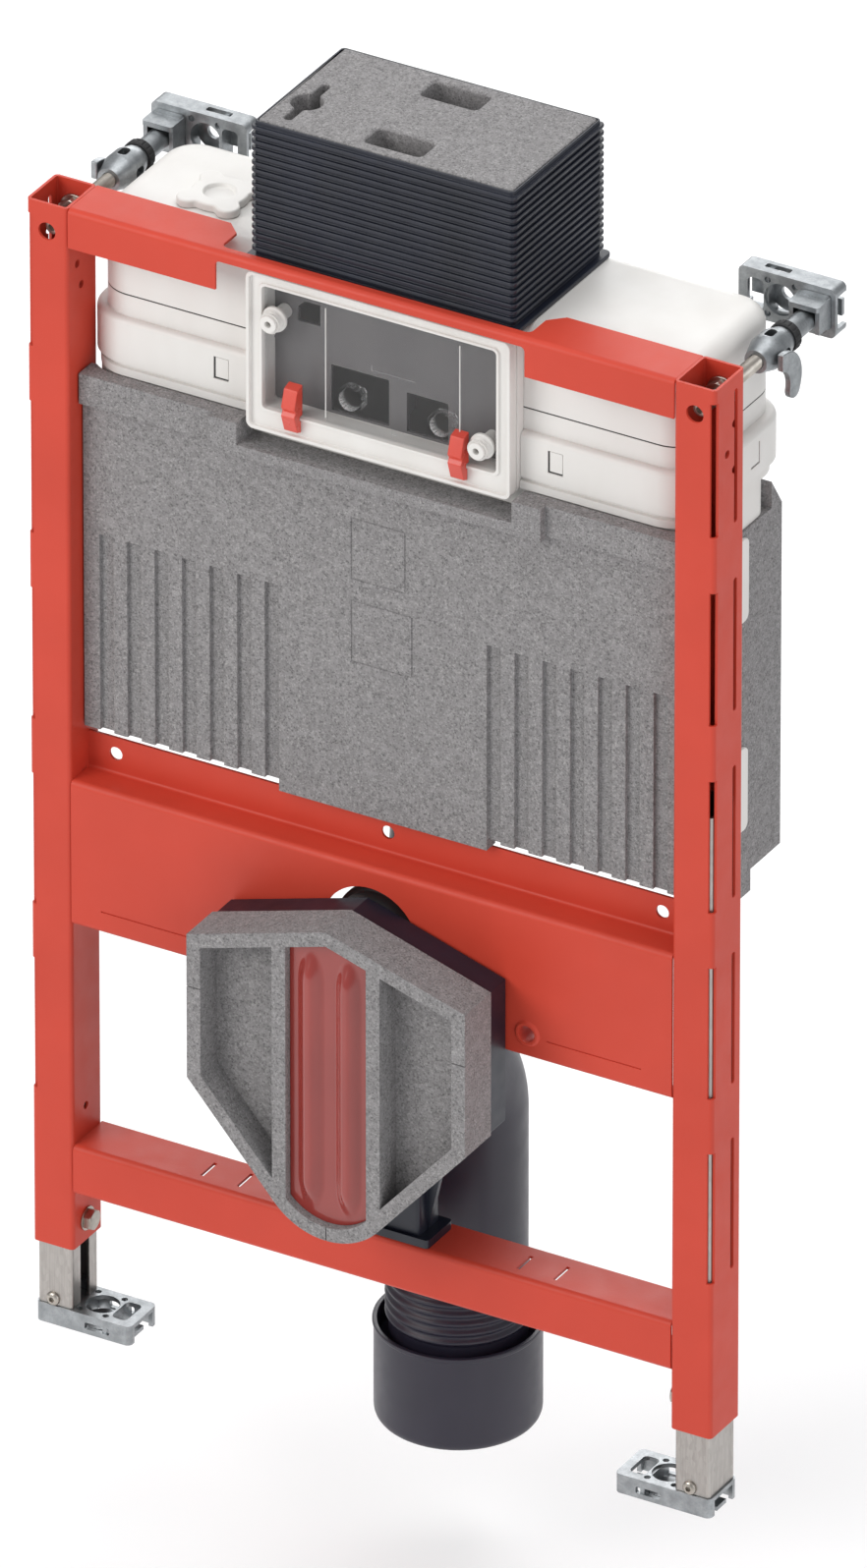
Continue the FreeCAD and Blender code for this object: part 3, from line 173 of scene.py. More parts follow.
def bead_foam(name, dark, light, speck, pale):
    """Grey bead foam: fused beads about 3 mm across, with fine dark and pale specks between them."""
    made, tree, shader, at = material(name)
    bead = cells(tree, at, 360.0)
    edge = cells(tree, at, 360.0, "DISTANCE_TO_EDGE").outputs["Distance"]
    fleck = noise(tree, at, 760.0, 2.0, 0.6)
    pepper = noise(tree, at, 1500.0, 1.0)
    mottle = noise(tree, at, 110.0, 3.0)
    shade = remap(tree, bead.outputs["Color"], 0.0, 1.0, 0.1, 0.9)
    colour = tint(tree, shade, dark, light)
    colour = tint(tree, remap(tree, mottle, 0.35, 0.65, 0.0, 0.35), colour, dark)
    colour = tint(tree, remap(tree, fleck, 0.56, 0.68, 0.0, 0.75), colour, speck)
    colour = tint(tree, remap(tree, fleck, 0.42, 0.32, 0.0, 0.65), colour, pale)
    colour = tint(tree, remap(tree, pepper, 0.66, 0.74, 0.0, 0.7), colour, speck)
    rough = remap(tree, fleck, 0.3, 0.7, 0.80, 0.96)
    wire(tree, shader, colour, rough,
         [(remap(tree, edge, 0.0, 0.10, 0.0, 1.0), 0.00015, 0.6), (fleck, 0.00016, 0.7)])
    return made


def moulded(name, dark, light, rough_low, rough_high, texture=0.00002, **constant):
    """Moulded plastic: faint flow marks in colour and gloss, and a fine spark grain."""
    made, tree, shader, at = material(name, **constant)
    flow = noise(tree, stretched(tree, at, 1.0, 1.0, 0.45), 26.0, 3.0)
    grain = noise(tree, at, 1900.0, 2.0)
    colour = tint(tree, remap(tree, flow, 0.3, 0.7, 0.0, 1.0), dark, light)
    rough = remap(tree, noise(tree, at, 75.0, 3.0), 0.3, 0.7, rough_low, rough_high)
    wire(tree, shader, colour, rough, [(grain, texture, 0.6), (flow, 0.0002, 0.15)])
    return made


def metal(name, dark, light, rough_low, rough_high, streak=(1.0, 1.0, 1.0)):
    """Bare or plated metal: blotches and streaks in colour and gloss, with a fine grain."""
    made, tree, shader, at = material(name, metallic=1.0)
    drawn = noise(tree, stretched(tree, at, *streak), 700.0, 3.0, 0.6)
    blotch = noise(tree, at, 120.0, 3.0)
    grain = noise(tree, at, 900.0, 3.0, 0.6)
    colour = tint(tree, remap(tree, blotch, 0.3, 0.7, 0.0, 1.0), dark, light)
    colour = tint(tree, remap(tree, drawn, 0.45, 0.75, 0.0, 0.5), colour, dark)
    rough = remap(tree, drawn, 0.25, 0.75, rough_low, rough_high)
    wire(tree, shader, colour, rough, [(drawn, 0.00004, 0.5), (grain, 0.000024, 0.5)])
    return made


def galvanised():
    """Zinc dipped steel: flat spangle cells of different brightness with drawing streaks along them."""
    made, tree, shader, at = material("galvanised_steel", metallic=1.0)
    spangle = cells(tree, stretched(tree, at, 1.0, 1.0, 0.35), 520.0)
    drawn = noise(tree, stretched(tree, at, 1.0, 1.0, 0.02), 900.0, 3.0, 0.6)
    shade = remap(tree, spangle.outputs["Color"], 0.0, 1.0, 0.2, 0.8)
    colour = tint(tree, shade, (0.36, 0.335, 0.315), (0.50, 0.475, 0.45))
    colour = tint(tree, remap(tree, drawn, 0.5, 0.75, 0.0, 0.55), colour, (0.27, 0.25, 0.235))
    rough = remap(tree, drawn, 0.25, 0.75, 0.30, 0.48)
    wire(tree, shader, colour, rough, [(drawn, 0.00004, 0.6), (noise(tree, at, 700.0), 0.00002, 0.5)])
    return made


def clear_plastic():
    """Clear polycarbonate as a thin film: nearly open face on; its opacity rises at its edges and at grazing
    angles, where the shader's own reflection shows and its pale base colour adds a painted whitish sheen.
    """
    made, tree, shader, at = material("clear_panel", Coat_Weight=0.6, Coat_Roughness=0.05)
    wave = noise(tree, at, 35.0, 2.0)
    haze = noise(tree, at, 160.0, 3.0)
    colour = tint(tree, remap(tree, wave, 0.3, 0.7, 0.0, 1.0), (0.66, 0.66, 0.67), (0.76, 0.76, 0.77))
    rough = remap(tree, haze, 0.35, 0.7, 0.04, 0.12)
    wire(tree, shader, colour, rough, [(wave, 0.0003, 0.12)])
    # Painted sheen: the facing weight raises the opacity at grazing angles, so the pale base colour shows as
    # bright edges along with the real reflection.
    grazing = add(tree, "LayerWeight", Blend=0.35).outputs["Facing"]
    tree.links.new(remap(tree, grazing, 0.35, 0.85, 0.03, 0.8), shader.inputs["Alpha"])
    return made


finishes = {
    "red_paint": powder_coat(),
    "grey_foam": bead_foam("bead_foam", (0.190, 0.183, 0.184), (0.315, 0.305, 0.307), (0.07, 0.067, 0.068),
                           (0.42, 0.41, 0.40)),
    "white_plastic": moulded("white_plastic", (0.715, 0.695, 0.665), (0.765, 0.75, 0.725), 0.4, 0.5),
    "grey_plastic": moulded("grey_plastic", (0.088, 0.083, 0.086), (0.112, 0.106, 0.108), 0.38, 0.5),
    "red_plastic": moulded("red_gloss_plastic", (0.26, 0.030, 0.024), (0.31, 0.038, 0.030), 0.16, 0.26,
                           0.000008, Coat_Weight=0.5, Coat_Roughness=0.08),
    "black_plastic": moulded("black_plastic", (0.006, 0.008, 0.016), (0.010, 0.013, 0.026), 0.34, 0.46),
    "drain_plastic": moulded("drain_plastic", (0.016, 0.0145, 0.027), (0.022, 0.0195, 0.036), 0.36, 0.44),
    "black_rubber": moulded("black_rubber", (0.010, 0.010, 0.011), (0.018, 0.018, 0.019), 0.6, 0.75, 0.00006),
    "galvanised": galvanised(),
    "cast_zinc": metal("cast_zinc", (0.27, 0.285, 0.295), (0.42, 0.44, 0.455), 0.34, 0.5),
    "zinc_steel": metal("zinc_steel", (0.36, 0.33, 0.29), (0.52, 0.485, 0.44), 0.26, 0.40, (1.0, 0.08, 1.0)),
    "clear_plastic": clear_plastic(),
}
bright_red = moulded("red_latch_plastic", (0.60, 0.058, 0.036), (0.68, 0.072, 0.045), 0.24, 0.34)


# Pieces that take a node's place


def seat(piece, body, slot, *replaced, finish=None):
    """Gives a piece its finish, its body and its slot, and hides the nodes it stands for."""
    piece.data.materials.clear()
    piece.data.materials.append(finish or finishes[slot])
    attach(piece, body)
    if replaced:
        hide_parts(*replaced)
    return piece


MERGE_DISTANCE = 2e-6
FLAT_ANGLE = math.radians(0.6)
EDGE_ANGLE = math.radians(32.0)
LATCHES = ("latch_left", "latch_right")


def softened(name, width, pairs):
    """A node's mesh, merged and its edges rounded by width mm; flat faces are made whole, or only paired."""
    mesh = bpy.data.meshes.new(name + "_body")
    work = bmesh.new()
    work.from_mesh(nodes[name].data)
    bmesh.ops.remove_doubles(work, verts=work.verts, dist=MERGE_DISTANCE)
    if pairs:
        bmesh.ops.join_triangles(work, faces=work.faces, angle_face_threshold=FLAT_ANGLE,
                                 angle_shape_threshold=math.pi)
    else:
        bmesh.ops.dissolve_limit(work, angle_limit=FLAT_ANGLE, verts=work.verts, edges=work.edges)
    work.to_mesh(mesh)
    work.free()
    piece = bpy.data.objects.new(name + "_body", mesh)
    bpy.context.scene.collection.objects.link(piece)
    mesh.polygons.foreach_set("use_smooth", [True] * len(mesh.polygons))
    if width:
        bevel = piece.modifiers.new("edge", "BEVEL")
        bevel.width = width / 1000.0
        bevel.segments = 2
        bevel.limit_method = "ANGLE"
        bevel.angle_limit = EDGE_ANGLE
        bevel.use_clamp_overlap = True
        bevel.miter_outer = "MITER_ARC"
    else:
        mesh.set_sharp_from_angle(angle=EDGE_ANGLE)
    weighted = piece.modifiers.new("shade", "WEIGHTED_NORMAL")
    weighted.keep_sharp = True
    finish = bright_red if name in LATCHES else None
    return seat(piece, body_of_node[name], slot_of_node[name], name, finish=finish)


def carve(piece, low, high):
    """Cuts the box between two corners, in mm, out of a piece's own mesh, before its edges are rounded."""
    low, high = metres(low), metres(high)
    corner = np.array([[i, j, k] for i in (0, 1) for j in (0, 1) for k in (0, 1)])
    sides = [(0, 1, 3, 2), (4, 6, 7, 5), (0, 4, 5, 1), (2, 3, 7, 6), (0, 2, 6, 4), (1, 5, 7, 3)]
    mesh = bpy.data.meshes.new("cut")
    mesh.from_pydata((low + corner * (high - low)).tolist(), [], sides)
    cutter = bpy.data.objects.new("cut", mesh)
    bpy.context.scene.collection.objects.link(cutter)
    cut = piece.modifiers.new("cut", "BOOLEAN")
    cut.object = cutter
    cut.solver = "EXACT"
    for other in piece.modifiers:
        other.show_viewport = other == cut
    graph = bpy.context.evaluated_depsgraph_get()
    shaped = bpy.data.meshes.new_from_object(piece.evaluated_get(graph))
    piece.modifiers.remove(cut)
    for other in piece.modifiers:
        other.show_viewport = True
    piece.data = shaped
    bpy.data.objects.remove(cutter)


def rounded(corners, radii, steps=5):
    """Outline of (radius, height) corners, each eased by the curve (1-t)^2 A + 2t(1-t) C + t^2 B.

    C is the corner, and A and B lie at its easing radius towards the corners before and after it.
    """
    corner = np.array(corners, float)
    radius = np.array(radii, float)[:, None]
    before = np.roll(corner, 1, axis=0) - corner
    after = np.roll(corner, -1, axis=0) - corner
    start = (corner + radius * before / np.linalg.norm(before, axis=1, keepdims=True))[:, None]
    end = (corner + radius * after / np.linalg.norm(after, axis=1, keepdims=True))[:, None]
    t = np.linspace(0.0, 1.0, steps)[None, :, None]
    return ((1 - t) ** 2 * start + 2 * t * (1 - t) * corner[:, None] + t ** 2 * end).reshape(-1, 2)


def turned(base, way, outline, steps, flats=None, pitch=0.0, depth=0.0, keep=None):
    """Grid turned about a line: outline point k becomes the ring of radius r_k at h_k mm along the way.

    With flats = (across, count), r is the smaller of r_k and across / cos(angle from the nearest flat's
    middle). With a pitch, r loses keep times depth times a triangle wave of (h / pitch - angle / full turn).
    """
    r, h = outline[:, 0:1], outline[:, 1:2]
    angle = np.linspace(0.0, 2 * np.pi, steps, endpoint=False)[None, :]
    radius = np.repeat(r, steps, axis=1)
    if flats:
        across, count = flats
        turn = 2 * np.pi / count
        radius = np.minimum(radius, across / np.cos((angle + turn / 2) % turn - turn / 2))
    if pitch:
        wave = 1 - np.abs(2 * ((h / pitch - angle / (2 * np.pi)) % 1.0) - 1)
        radius = radius - depth * wave * keep[:, None]
    axis = np.array(way, float) / np.linalg.norm(way)
    across_axis = np.array([1.0, 0.0, 0.0]) if abs(axis[0]) < 0.5 else np.array([0.0, 1.0, 0.0])
    other = np.cross(axis, across_axis)
    spoke = np.cos(angle)[..., None] * across_axis + np.sin(angle)[..., None] * other
    return np.array(base, float) + radius[..., None] * spoke + h[..., None] * axis


PIPE_STEPS = 96


def bent(start, bend_at, end, bend, radius_at, arc_steps, run_steps):
    """Grid swept along a bent pipe: ring k is a circle of radius_at(s_k) about the middle line at s_k mm.

    The middle line runs straight, turns by a quarter circle of radius bend and runs straight again.
    """
    start, bend_at, end = (np.array(point, float) for point in (start, bend_at, end))
    first = (bend_at - start) / np.linalg.norm(bend_at - start)
    second = (end - bend_at) / np.linalg.norm(end - bend_at)
    arc_start, arc_end = bend_at - first * bend, bend_at + second * bend
    t = np.linspace(0.0, 1.0, run_steps)[:, None]
    phi = np.linspace(0.0, np.pi / 2, arc_steps)[1:-1, None]
    into = start + t * (arc_start - start)
    turn = arc_start + bend * (np.sin(phi) * first + (1 - np.cos(phi)) * second)
    out = arc_end + t * (end - arc_end)
    line = np.concatenate([into, turn, out])
    heading = np.concatenate([np.repeat(first[None], run_steps, 0),
                              np.cos(phi) * first + np.sin(phi) * second,
                              np.repeat(second[None], run_steps, 0)])
    length = np.concatenate([[0.0], np.cumsum(np.linalg.norm(np.diff(line, axis=0), axis=1))])
    angle = np.linspace(0.0, 2 * np.pi, PIPE_STEPS, endpoint=False)[None, :, None]
    side = np.array([1.0, 0.0, 0.0])
    over = np.cross(heading, side)[:, None]
    spoke = np.cos(angle) * side + np.sin(angle) * over
    return line[:, None] + radius_at(length)[:, None, None] * spoke


WELD_DISTANCE = 1e-7


def finished(name, points, faces, sharp=35.0):
    """Object over computed points and faces, with doubles merged, normals out and smooth shading."""
    mesh = bpy.data.meshes.new(name)
    mesh.from_pydata(points.tolist(), [], faces.tolist())
    work = bmesh.new()
    work.from_mesh(mesh)
    bmesh.ops.remove_doubles(work, verts=work.verts, dist=WELD_DISTANCE)
    bmesh.ops.recalc_face_normals(work, faces=work.faces)
    work.to_mesh(mesh)
    work.free()
    mesh.polygons.foreach_set("use_smooth", [True] * len(mesh.polygons))
    mesh.set_sharp_from_angle(angle=math.radians(sharp))
    piece = bpy.data.objects.new(name, mesh)
    bpy.context.scene.collection.objects.link(piece)
    return piece


def skin(name, *grids, wraps=False, sharp=35.0):
    """Surface over one or more grids of rings; the steps of a ring close, and with wraps the rings do too."""
    made = []
    faces = []
    count = 0
    for grid in grids:
        rings, steps = grid.shape[:2]
        i = np.arange(rings if wraps else rings - 1)[:, None]
        j = np.arange(steps)[None, :]
        near, far, following = i * steps, (i + 1) % rings * steps, (j + 1) % steps
        quads = np.stack([near + j, near + following, far + following, far + j], axis=-1)
        faces.append(quads.reshape(-1, 4) + count)
        made.append(metres(grid).reshape(-1, 3))
        count += rings * steps
    return finished(name, np.concatenate(made), np.concatenate(faces), sharp)


OUTLET_Y = -186.7
DRAIN_Y = -55.5
DRAIN_Z = 225.0
DRAIN_FOOT_Z = -20.0
DRAIN_RADIUS = 45.0
DRAIN_BORE = 41.5
DRAIN_BEND = 50.0
TAIL_LENGTH = 80.0
BELLOWS_START = 3.0
BELLOWS_END = 38.0
RIDGE_PITCH = 7.0
RIDGE_HEIGHT = 2.4
END_EASE = 0.6


def drain_radius(s):
    """Outer radius at s mm along the drain: five round ridges on the tail, and both ends eased."""
    tail = s - (s[-1] - TAIL_LENGTH)
    ridged = (tail > BELLOWS_START) & (tail < BELLOWS_END)
    wave = np.sin(np.pi * ((tail - BELLOWS_START) % RIDGE_PITCH) / RIDGE_PITCH) ** 2
    to_end = np.minimum(s, s[-1] - s)
    return DRAIN_RADIUS + np.where(ridged, RIDGE_HEIGHT * wave, 0.0) - END_EASE * np.exp(-to_end / END_EASE)


def make_drain():
    """Drain bend with a bellows tail, and the rimmed cup that it stands in."""
    runs = dict(arc_steps=48, run_steps=230)
    line = ((0.0, OUTLET_Y, DRAIN_Z), (0.0, DRAIN_Y, DRAIN_Z), (0.0, DRAIN_Y, DRAIN_FOOT_Z), DRAIN_BEND)
    skin_out = bent(*line, drain_radius, **runs)
    skin_in = bent(*line, lambda s: np.full_like(s, DRAIN_BORE), **runs)[::-1]
    seat(skin("drain_bend_body", np.concatenate([skin_out, skin_in]), wraps=True, sharp=50.0),
         "frame", "drain_plastic", "drain_bend")
    cup = rounded([(39.0, -52.0), (54.5, -52.0), (54.5, 15.8), (55.4, 16.6), (55.4, 19.0), (52.1, 19.0),
                   (52.1, 3.0), (45.3, -5.0), (45.3, -20.3), (39.0, -20.3)],
                  [0.5, 8.0, 0.5, 0.5, 0.8, 0.8, 1.5, 1.0, 0.5, 0.5], 7)
    seat(skin("drain_cup_body", turned((0.0, DRAIN_Y, 0.0), (0, 0, 1), cup, 128), wraps=True, sharp=50.0),
         "frame", "drain_plastic", "drain_cup")


FLUSH_Y = -98.0
FLUSH_TOP_Z = 446.0
FLUSH_Z = 358.0
FLUSH_RADIUS = 22.5
FLUSH_BORE = 20.0
FLUSH_BEND = 45.0


def make_flush_pipe():
    """Smooth flush bend from the tank's underside to the outlet."""
    line = ((0.0, FLUSH_Y, FLUSH_TOP_Z), (0.0, FLUSH_Y, FLUSH_Z), (0.0, OUTLET_Y, FLUSH_Z), FLUSH_BEND)
    runs = dict(arc_steps=40, run_steps=8)
    skin_out = bent(*line, lambda s: np.full_like(s, FLUSH_RADIUS), **runs)
    skin_in = bent(*line, lambda s: np.full_like(s, FLUSH_BORE), **runs)[::-1]
    seat(skin("flush_bend_body", np.concatenate([skin_out, skin_in]), wraps=True),
         "frame", "black_plastic", "flush_bend")


RINGS_A_PITCH = 12


def screwed(base, way, crest, low, high, pitch, depth, before, after, steps):
    """Turned grid whose outline runs over the points before, a threaded stretch of crest radius, and after.

    The thread rises from nothing over half a pitch at both of its ends.
    """
    fine = np.linspace(low, high, int(RINGS_A_PITCH * (high - low) / pitch))
    share = np.clip(np.minimum(fine - low, high - fine) / (0.5 * pitch), 0.0, 1.0)
    outline = np.concatenate([before, np.stack([np.full_like(fine, crest), fine], axis=1), after])
    keep = np.concatenate([np.zeros(len(before)), share, np.zeros(len(after))])
    return turned(base, way, outline, steps, pitch=pitch, depth=depth, keep=keep)


BACKWARD = (0, 1, 0)
FORWARD = (0, -1, 0)
ROD_RADIUS = 5.0
ROD_SOCKET = 2.4
ROD_PITCH = 1.5
ROD_THREAD = 0.75
POST_WALL = 2.0
LOOSE = 0.3


def make_wall_rods():
    """Rod with a rolled thread and a socket in its end, a flanged nut in the post and a washer behind it."""
    flange_outline = rounded([(ROD_RADIUS, 0.0), (10.4, 0.0), (10.4, 1.6), (ROD_RADIUS, 2.6)],
                             [0.2, 0.5, 0.6, 0.2])
    nut_outline = rounded([(ROD_RADIUS, 1.0), (9.2, 1.0), (9.2, 6.6), (8.0, 7.2), (ROD_RADIUS, 7.2)],
                          [0.1, 0.1, 0.4, 0.3, 0.1])
    washer_outline = rounded([(ROD_RADIUS, 0.0), (9.5, 0.0), (9.5, 4.0), (ROD_RADIUS, 4.0)],
                             [0.1, 0.5, 1.4, 0.4])
    front_end = [(0.0, 3.5), (ROD_SOCKET, 3.5), (ROD_SOCKET, 0.0), (4.2, 0.0)]
    back_end = [(4.5, 77.0), (0.0, 77.0)]
    for side, name in SIDES:
        start = (side * POST_X, FRONT_Y + 6.0, FIXING_Z)
        rod = screwed(start, BACKWARD, ROD_RADIUS, 0.9, 76.0, ROD_PITCH, ROD_THREAD, front_end, back_end, 36)
        nut_seat = (side * POST_X, REAR_Y - (POST_WALL + LOOSE), FIXING_Z)
        flange = turned(nut_seat, FORWARD, flange_outline, 72)
        nut = turned(nut_seat, FORWARD, nut_outline, 96, flats=(8.0, 6))
        washer = turned((side * POST_X, REAR_Y + LOOSE, FIXING_Z), BACKWARD, washer_outline, 72)
        seat(skin("wall_rod_%s_body" % name, rod, flange, nut, washer),
             "frame", "zinc_steel", "wall_rod_" + name)


BULKHEAD_Y = -140.3


def make_nozzles():
    """Two outlets through the clear panel: a round collar, a threaded neck and a bored tip."""
    bore, stem, neck = 2.2, 5.0, 7.2
    collar = rounded([(bore, 0.0), (stem, 0.0), (stem, 12.6), (8.8, 12.6), (8.8, 14.9), (6.0, 15.6),
                      (bore, 15.6)], [0.1, 0.3, 0.2, 0.4, 0.6, 0.2, 0.1])
    tip = rounded([(5.9, 20.4), (5.9, 22.6), (bore, 22.6), (bore, 14.0)], [0.1, 0.8, 0.5, 0.1])
    grids = []
    for x, z in ((-77.0, 778.0), (74.0, 729.0)):
        base = (x, BULKHEAD_Y, z)
        grids.append(turned(base, FORWARD, collar, 72))
        grids.append(screwed(base, FORWARD, neck, 15.4, 20.6, 2.4, 1.5, [(stem, 15.2)], tip, 72))
    seat(skin("service_nozzles_body", *grids), "frame", "white_plastic", "service_nozzles")


def make_screws():
    """Clamp bolts with chamfered hexagon heads, and button heads with a hexagon socket on the foot tubes."""
    washer_outline = rounded([(0.0, -14.0), (4.0, -14.0), (4.0, 0.2), (8.2, 0.2), (8.2, 1.2), (0.0, 1.2)],
                             [0.0, 0.5, 0.1, 0.2, 0.2, 0.0])
    head_outline = rounded([(0.0, 1.0), (7.6, 1.0), (7.6, 5.6), (6.3, 6.4), (0.0, 6.4)],
                           [0.0, 0.1, 0.4, 0.3, 0.0])
    button_outline = rounded([(0.0, 0.0), (4.9, 0.0), (4.7, 1.5), (3.2, 2.6), (1.8, 2.8), (1.8, 2.6)],
                             [0.0, 0.2, 0.6, 0.7, 0.1, 0.05])
    socket_outline = np.array([(1.82, 2.75), (1.8, 1.1), (0.0, 0.9)])
    for side, name in SIDES:
        bolt_seat = (side * (POST_X - 15.0), POST_MID_Y - 1.5, 76.0)
        inward = (-side, 0, 0)
        washer = turned(bolt_seat, inward, washer_outline, 72)
        head = turned(bolt_seat, inward, head_outline, 96, flats=(6.5, 6))
        seat(skin("clamp_bolt_%s_body" % name, washer, head), "frame", "zinc_steel", "clamp_bolt_" + name)
        tube_front = (side * POST_X - 1.5, FRONT_Y + 2.4, 18.6)
        button = turned(tube_front, FORWARD, button_outline, 72)
        socket = turned(tube_front, FORWARD, socket_outline, 60, flats=(1.5, 6))
        seat(skin("foot_screw_" + name, button, socket), "foot_" + name, "zinc_steel")


def slab(name, front, back):
    """Closed sheet between two grids of one size: both faces, and a strip round their shared edge."""
    rows, columns = front.shape[:2]
    at = np.arange(rows * columns).reshape(rows, columns)
    quads = np.stack([at[:-1, :-1], at[1:, :-1], at[1:, 1:], at[:-1, 1:]], axis=-1).reshape(-1, 4)
    edge = np.concatenate([at[0, :-1], at[:-1, -1], at[-1, :0:-1], at[:0:-1, 0]])
    ahead = np.roll(edge, -1)
    strip = np.stack([edge, ahead, ahead + at.size, edge + at.size], axis=-1)
    faces = np.concatenate([quads, quads[:, ::-1] + at.size, strip])
    return finished(name, metres(np.concatenate([front.reshape(-1, 3), back.reshape(-1, 3)])), faces)


def block(low, high):
    """Closed box as rings: its middle, its four lower corners, its four upper corners, its middle."""
    low, high = np.array(low, float), np.array(high, float)
    middle = (low + high) / 2
    across = np.array([(low[0], low[1]), (high[0], low[1]), (high[0], high[1]), (low[0], high[1])])
    rings = [np.tile((*middle[:2], low[2]), (4, 1)), np.column_stack([across, np.full(4, low[2])]),
             np.column_stack([across, np.full(4, high[2])]), np.tile((*middle[:2], high[2]), (4, 1))]
    return np.array(rings)


JOINT_HALF_WIDTH = 217.5
JOINT_HALF_DEPTH = 55.5
JOINT_MIDDLE_Y = -84.5
JOINT_CORNER = 24.0


def groove_shade_line():
    """Painted shade in the cistern's groove: a dark strip along it, a rectangle with quarter circles at its
    corners, square in section.
    """
    turn = np.linspace(0.0, np.pi / 2, 13)
    angle = np.concatenate([turn + quarter * np.pi / 2 for quarter in range(4)])
    across = np.repeat([1, -1, -1, 1], len(turn)) * (JOINT_HALF_WIDTH - JOINT_CORNER)
    along = np.repeat([1, 1, -1, -1], len(turn)) * (JOINT_HALF_DEPTH - JOINT_CORNER)
    corners = []
    for inset, z in ((0.15, 756.1), (0.15, 756.9), (0.9, 756.9), (0.9, 756.1)):
        reach = JOINT_CORNER - inset
        corners.append(np.stack([across + reach * np.cos(angle), JOINT_MIDDLE_Y + along + reach * np.sin(angle),
                                 np.full_like(angle, z)], axis=-1))
    return np.stack(corners, axis=1)


POCKET_LOW = 717.0
POCKET_HIGH = 733.0


def make_cistern_trim():
    """Painted shade in the cover's groove, and the snap tongues in the cover's four pockets, each with a black
    strip behind it that paints the shade of its gap.
    """
    # Painted shade: a black strip in the cover's groove stands for the shade at its floor.
    seat(skin("cistern_groove_shade", groove_shade_line(), wraps=True), "frame", "black_rubber")
    # Painted shade: black strips just behind each tongue show as dark lines where the pocket's walls fall in
    # shade.
    tongue_shade_strips, tongues = [], []
    for left, right in ((-127.0, -116.0), (116.0, 127.0)):
        tongue_shade_strips.append(block((left, -143.9, POCKET_LOW), (right, -143.7, POCKET_HIGH)))
        tongues.append(block((left + 1.5, -144.7, POCKET_LOW + 1.5), (right - 0.5, -143.8, POCKET_HIGH - 0.5)))
    for side, _ in SIDES:
        inner, outer = sorted((side * 223.7, side * 223.9))
        tongue_shade_strips.append(block((inner, -78.0, POCKET_LOW), (outer, -67.0, POCKET_HIGH)))
        inner, outer = sorted((side * 223.8, side * 224.9))
        tongues.append(block((inner, -78.0, POCKET_LOW + 1.4), (outer, -68.4, POCKET_HIGH)))
    seat(skin("cistern_tongue_shade", *tongue_shade_strips), "frame", "black_rubber")
    seat(skin("cistern_tongues", *tongues), "frame", "white_plastic")


def make_panel_step_highlights():
    """Two thin upright white strips on the clear panel, where its middle field steps back: a painted highlight
    of the step's edges.
    """
    highlight_strips = [block((x - 0.25, -155.5, 718.0), (x + 0.25, -154.9, 797.0)) for x in (-39.2, 58.2)]
    # Painted highlight: opaque white plastic stands for the bright edges of the clear panel's step.
    seat(skin("splash_panel_step_highlights", *highlight_strips), "frame", "white_plastic")


INSERT_HALF_WIDTH = 29.2
INSERT_FRONT_Y = -218.6
INSERT_BACK_Y = -215.6
FOOT_RADIUS = 39.7
FOOT_MIDDLE_Z = 212.0
GABLE_Z = 378.2
GABLE_SLOPE = 0.304
RIB_X = 13.7
RIB_LOW = 203.0
RIB_HIGH = 346.0
RIB_HEIGHT = 6.2
RIB_CREST = 1.0
RIB_FLANK = 9.0
RIB_END_STRETCH = 0.4


def make_insert():
    """Red bay of the cover: depth falls by half a cosine of the distance to each rib's middle line.

    The lower edge is the circle of the cover's foot and the upper edge is its gable, both set in.
    """
    x = np.linspace(-INSERT_HALF_WIDTH, INSERT_HALF_WIDTH, 110)[None, :]
    up = np.linspace(0.0, 1.0, 260)[:, None]
    low = FOOT_MIDDLE_Z - np.sqrt(FOOT_RADIUS ** 2 - x ** 2)
    high = GABLE_Z - GABLE_SLOPE * np.abs(x)
    z = low + up * (high - low)
    x = np.repeat(x, len(up), axis=0)
    past_end = RIB_END_STRETCH * np.maximum(np.maximum(RIB_LOW - z, z - RIB_HIGH), 0.0)
    depth = np.zeros_like(z)
    for side, _ in SIDES:
        away = np.hypot(x - side * RIB_X, past_end)
        fall = np.clip((away - RIB_CREST) / RIB_FLANK, 0.0, 1.0)
        depth = np.maximum(depth, RIB_HEIGHT * (0.5 + 0.5 * np.cos(np.pi * fall)))
    front = np.stack([x, INSERT_FRONT_Y - depth, z], axis=-1)
    back = np.stack([x, np.full_like(z, INSERT_BACK_Y), z], axis=-1)
    seat(slab("cover_insert_body", front, back), "frame", "red_plastic", "cover_insert")


def open_inner_end(piece, kind, side):
    """Opens the end of a foot or wall plate that faces the middle of the frame."""
    left, right = sorted((side * 178.0, side * 182.5))
    if kind == "foot_plate":
        carve(piece, (left, POST_MID_Y - 11.5, -1.0), (right, POST_MID_Y + 11.5, 11.0))
    else:
        carve(piece, (left, -11.0, FIXING_Z - 11.5), (right, 1.0, FIXING_Z + 11.5))


make_drain()
make_flush_pipe()
make_wall_rods()
make_nozzles()
make_screws()
make_insert()
make_cistern_trim()
make_panel_step_highlights()

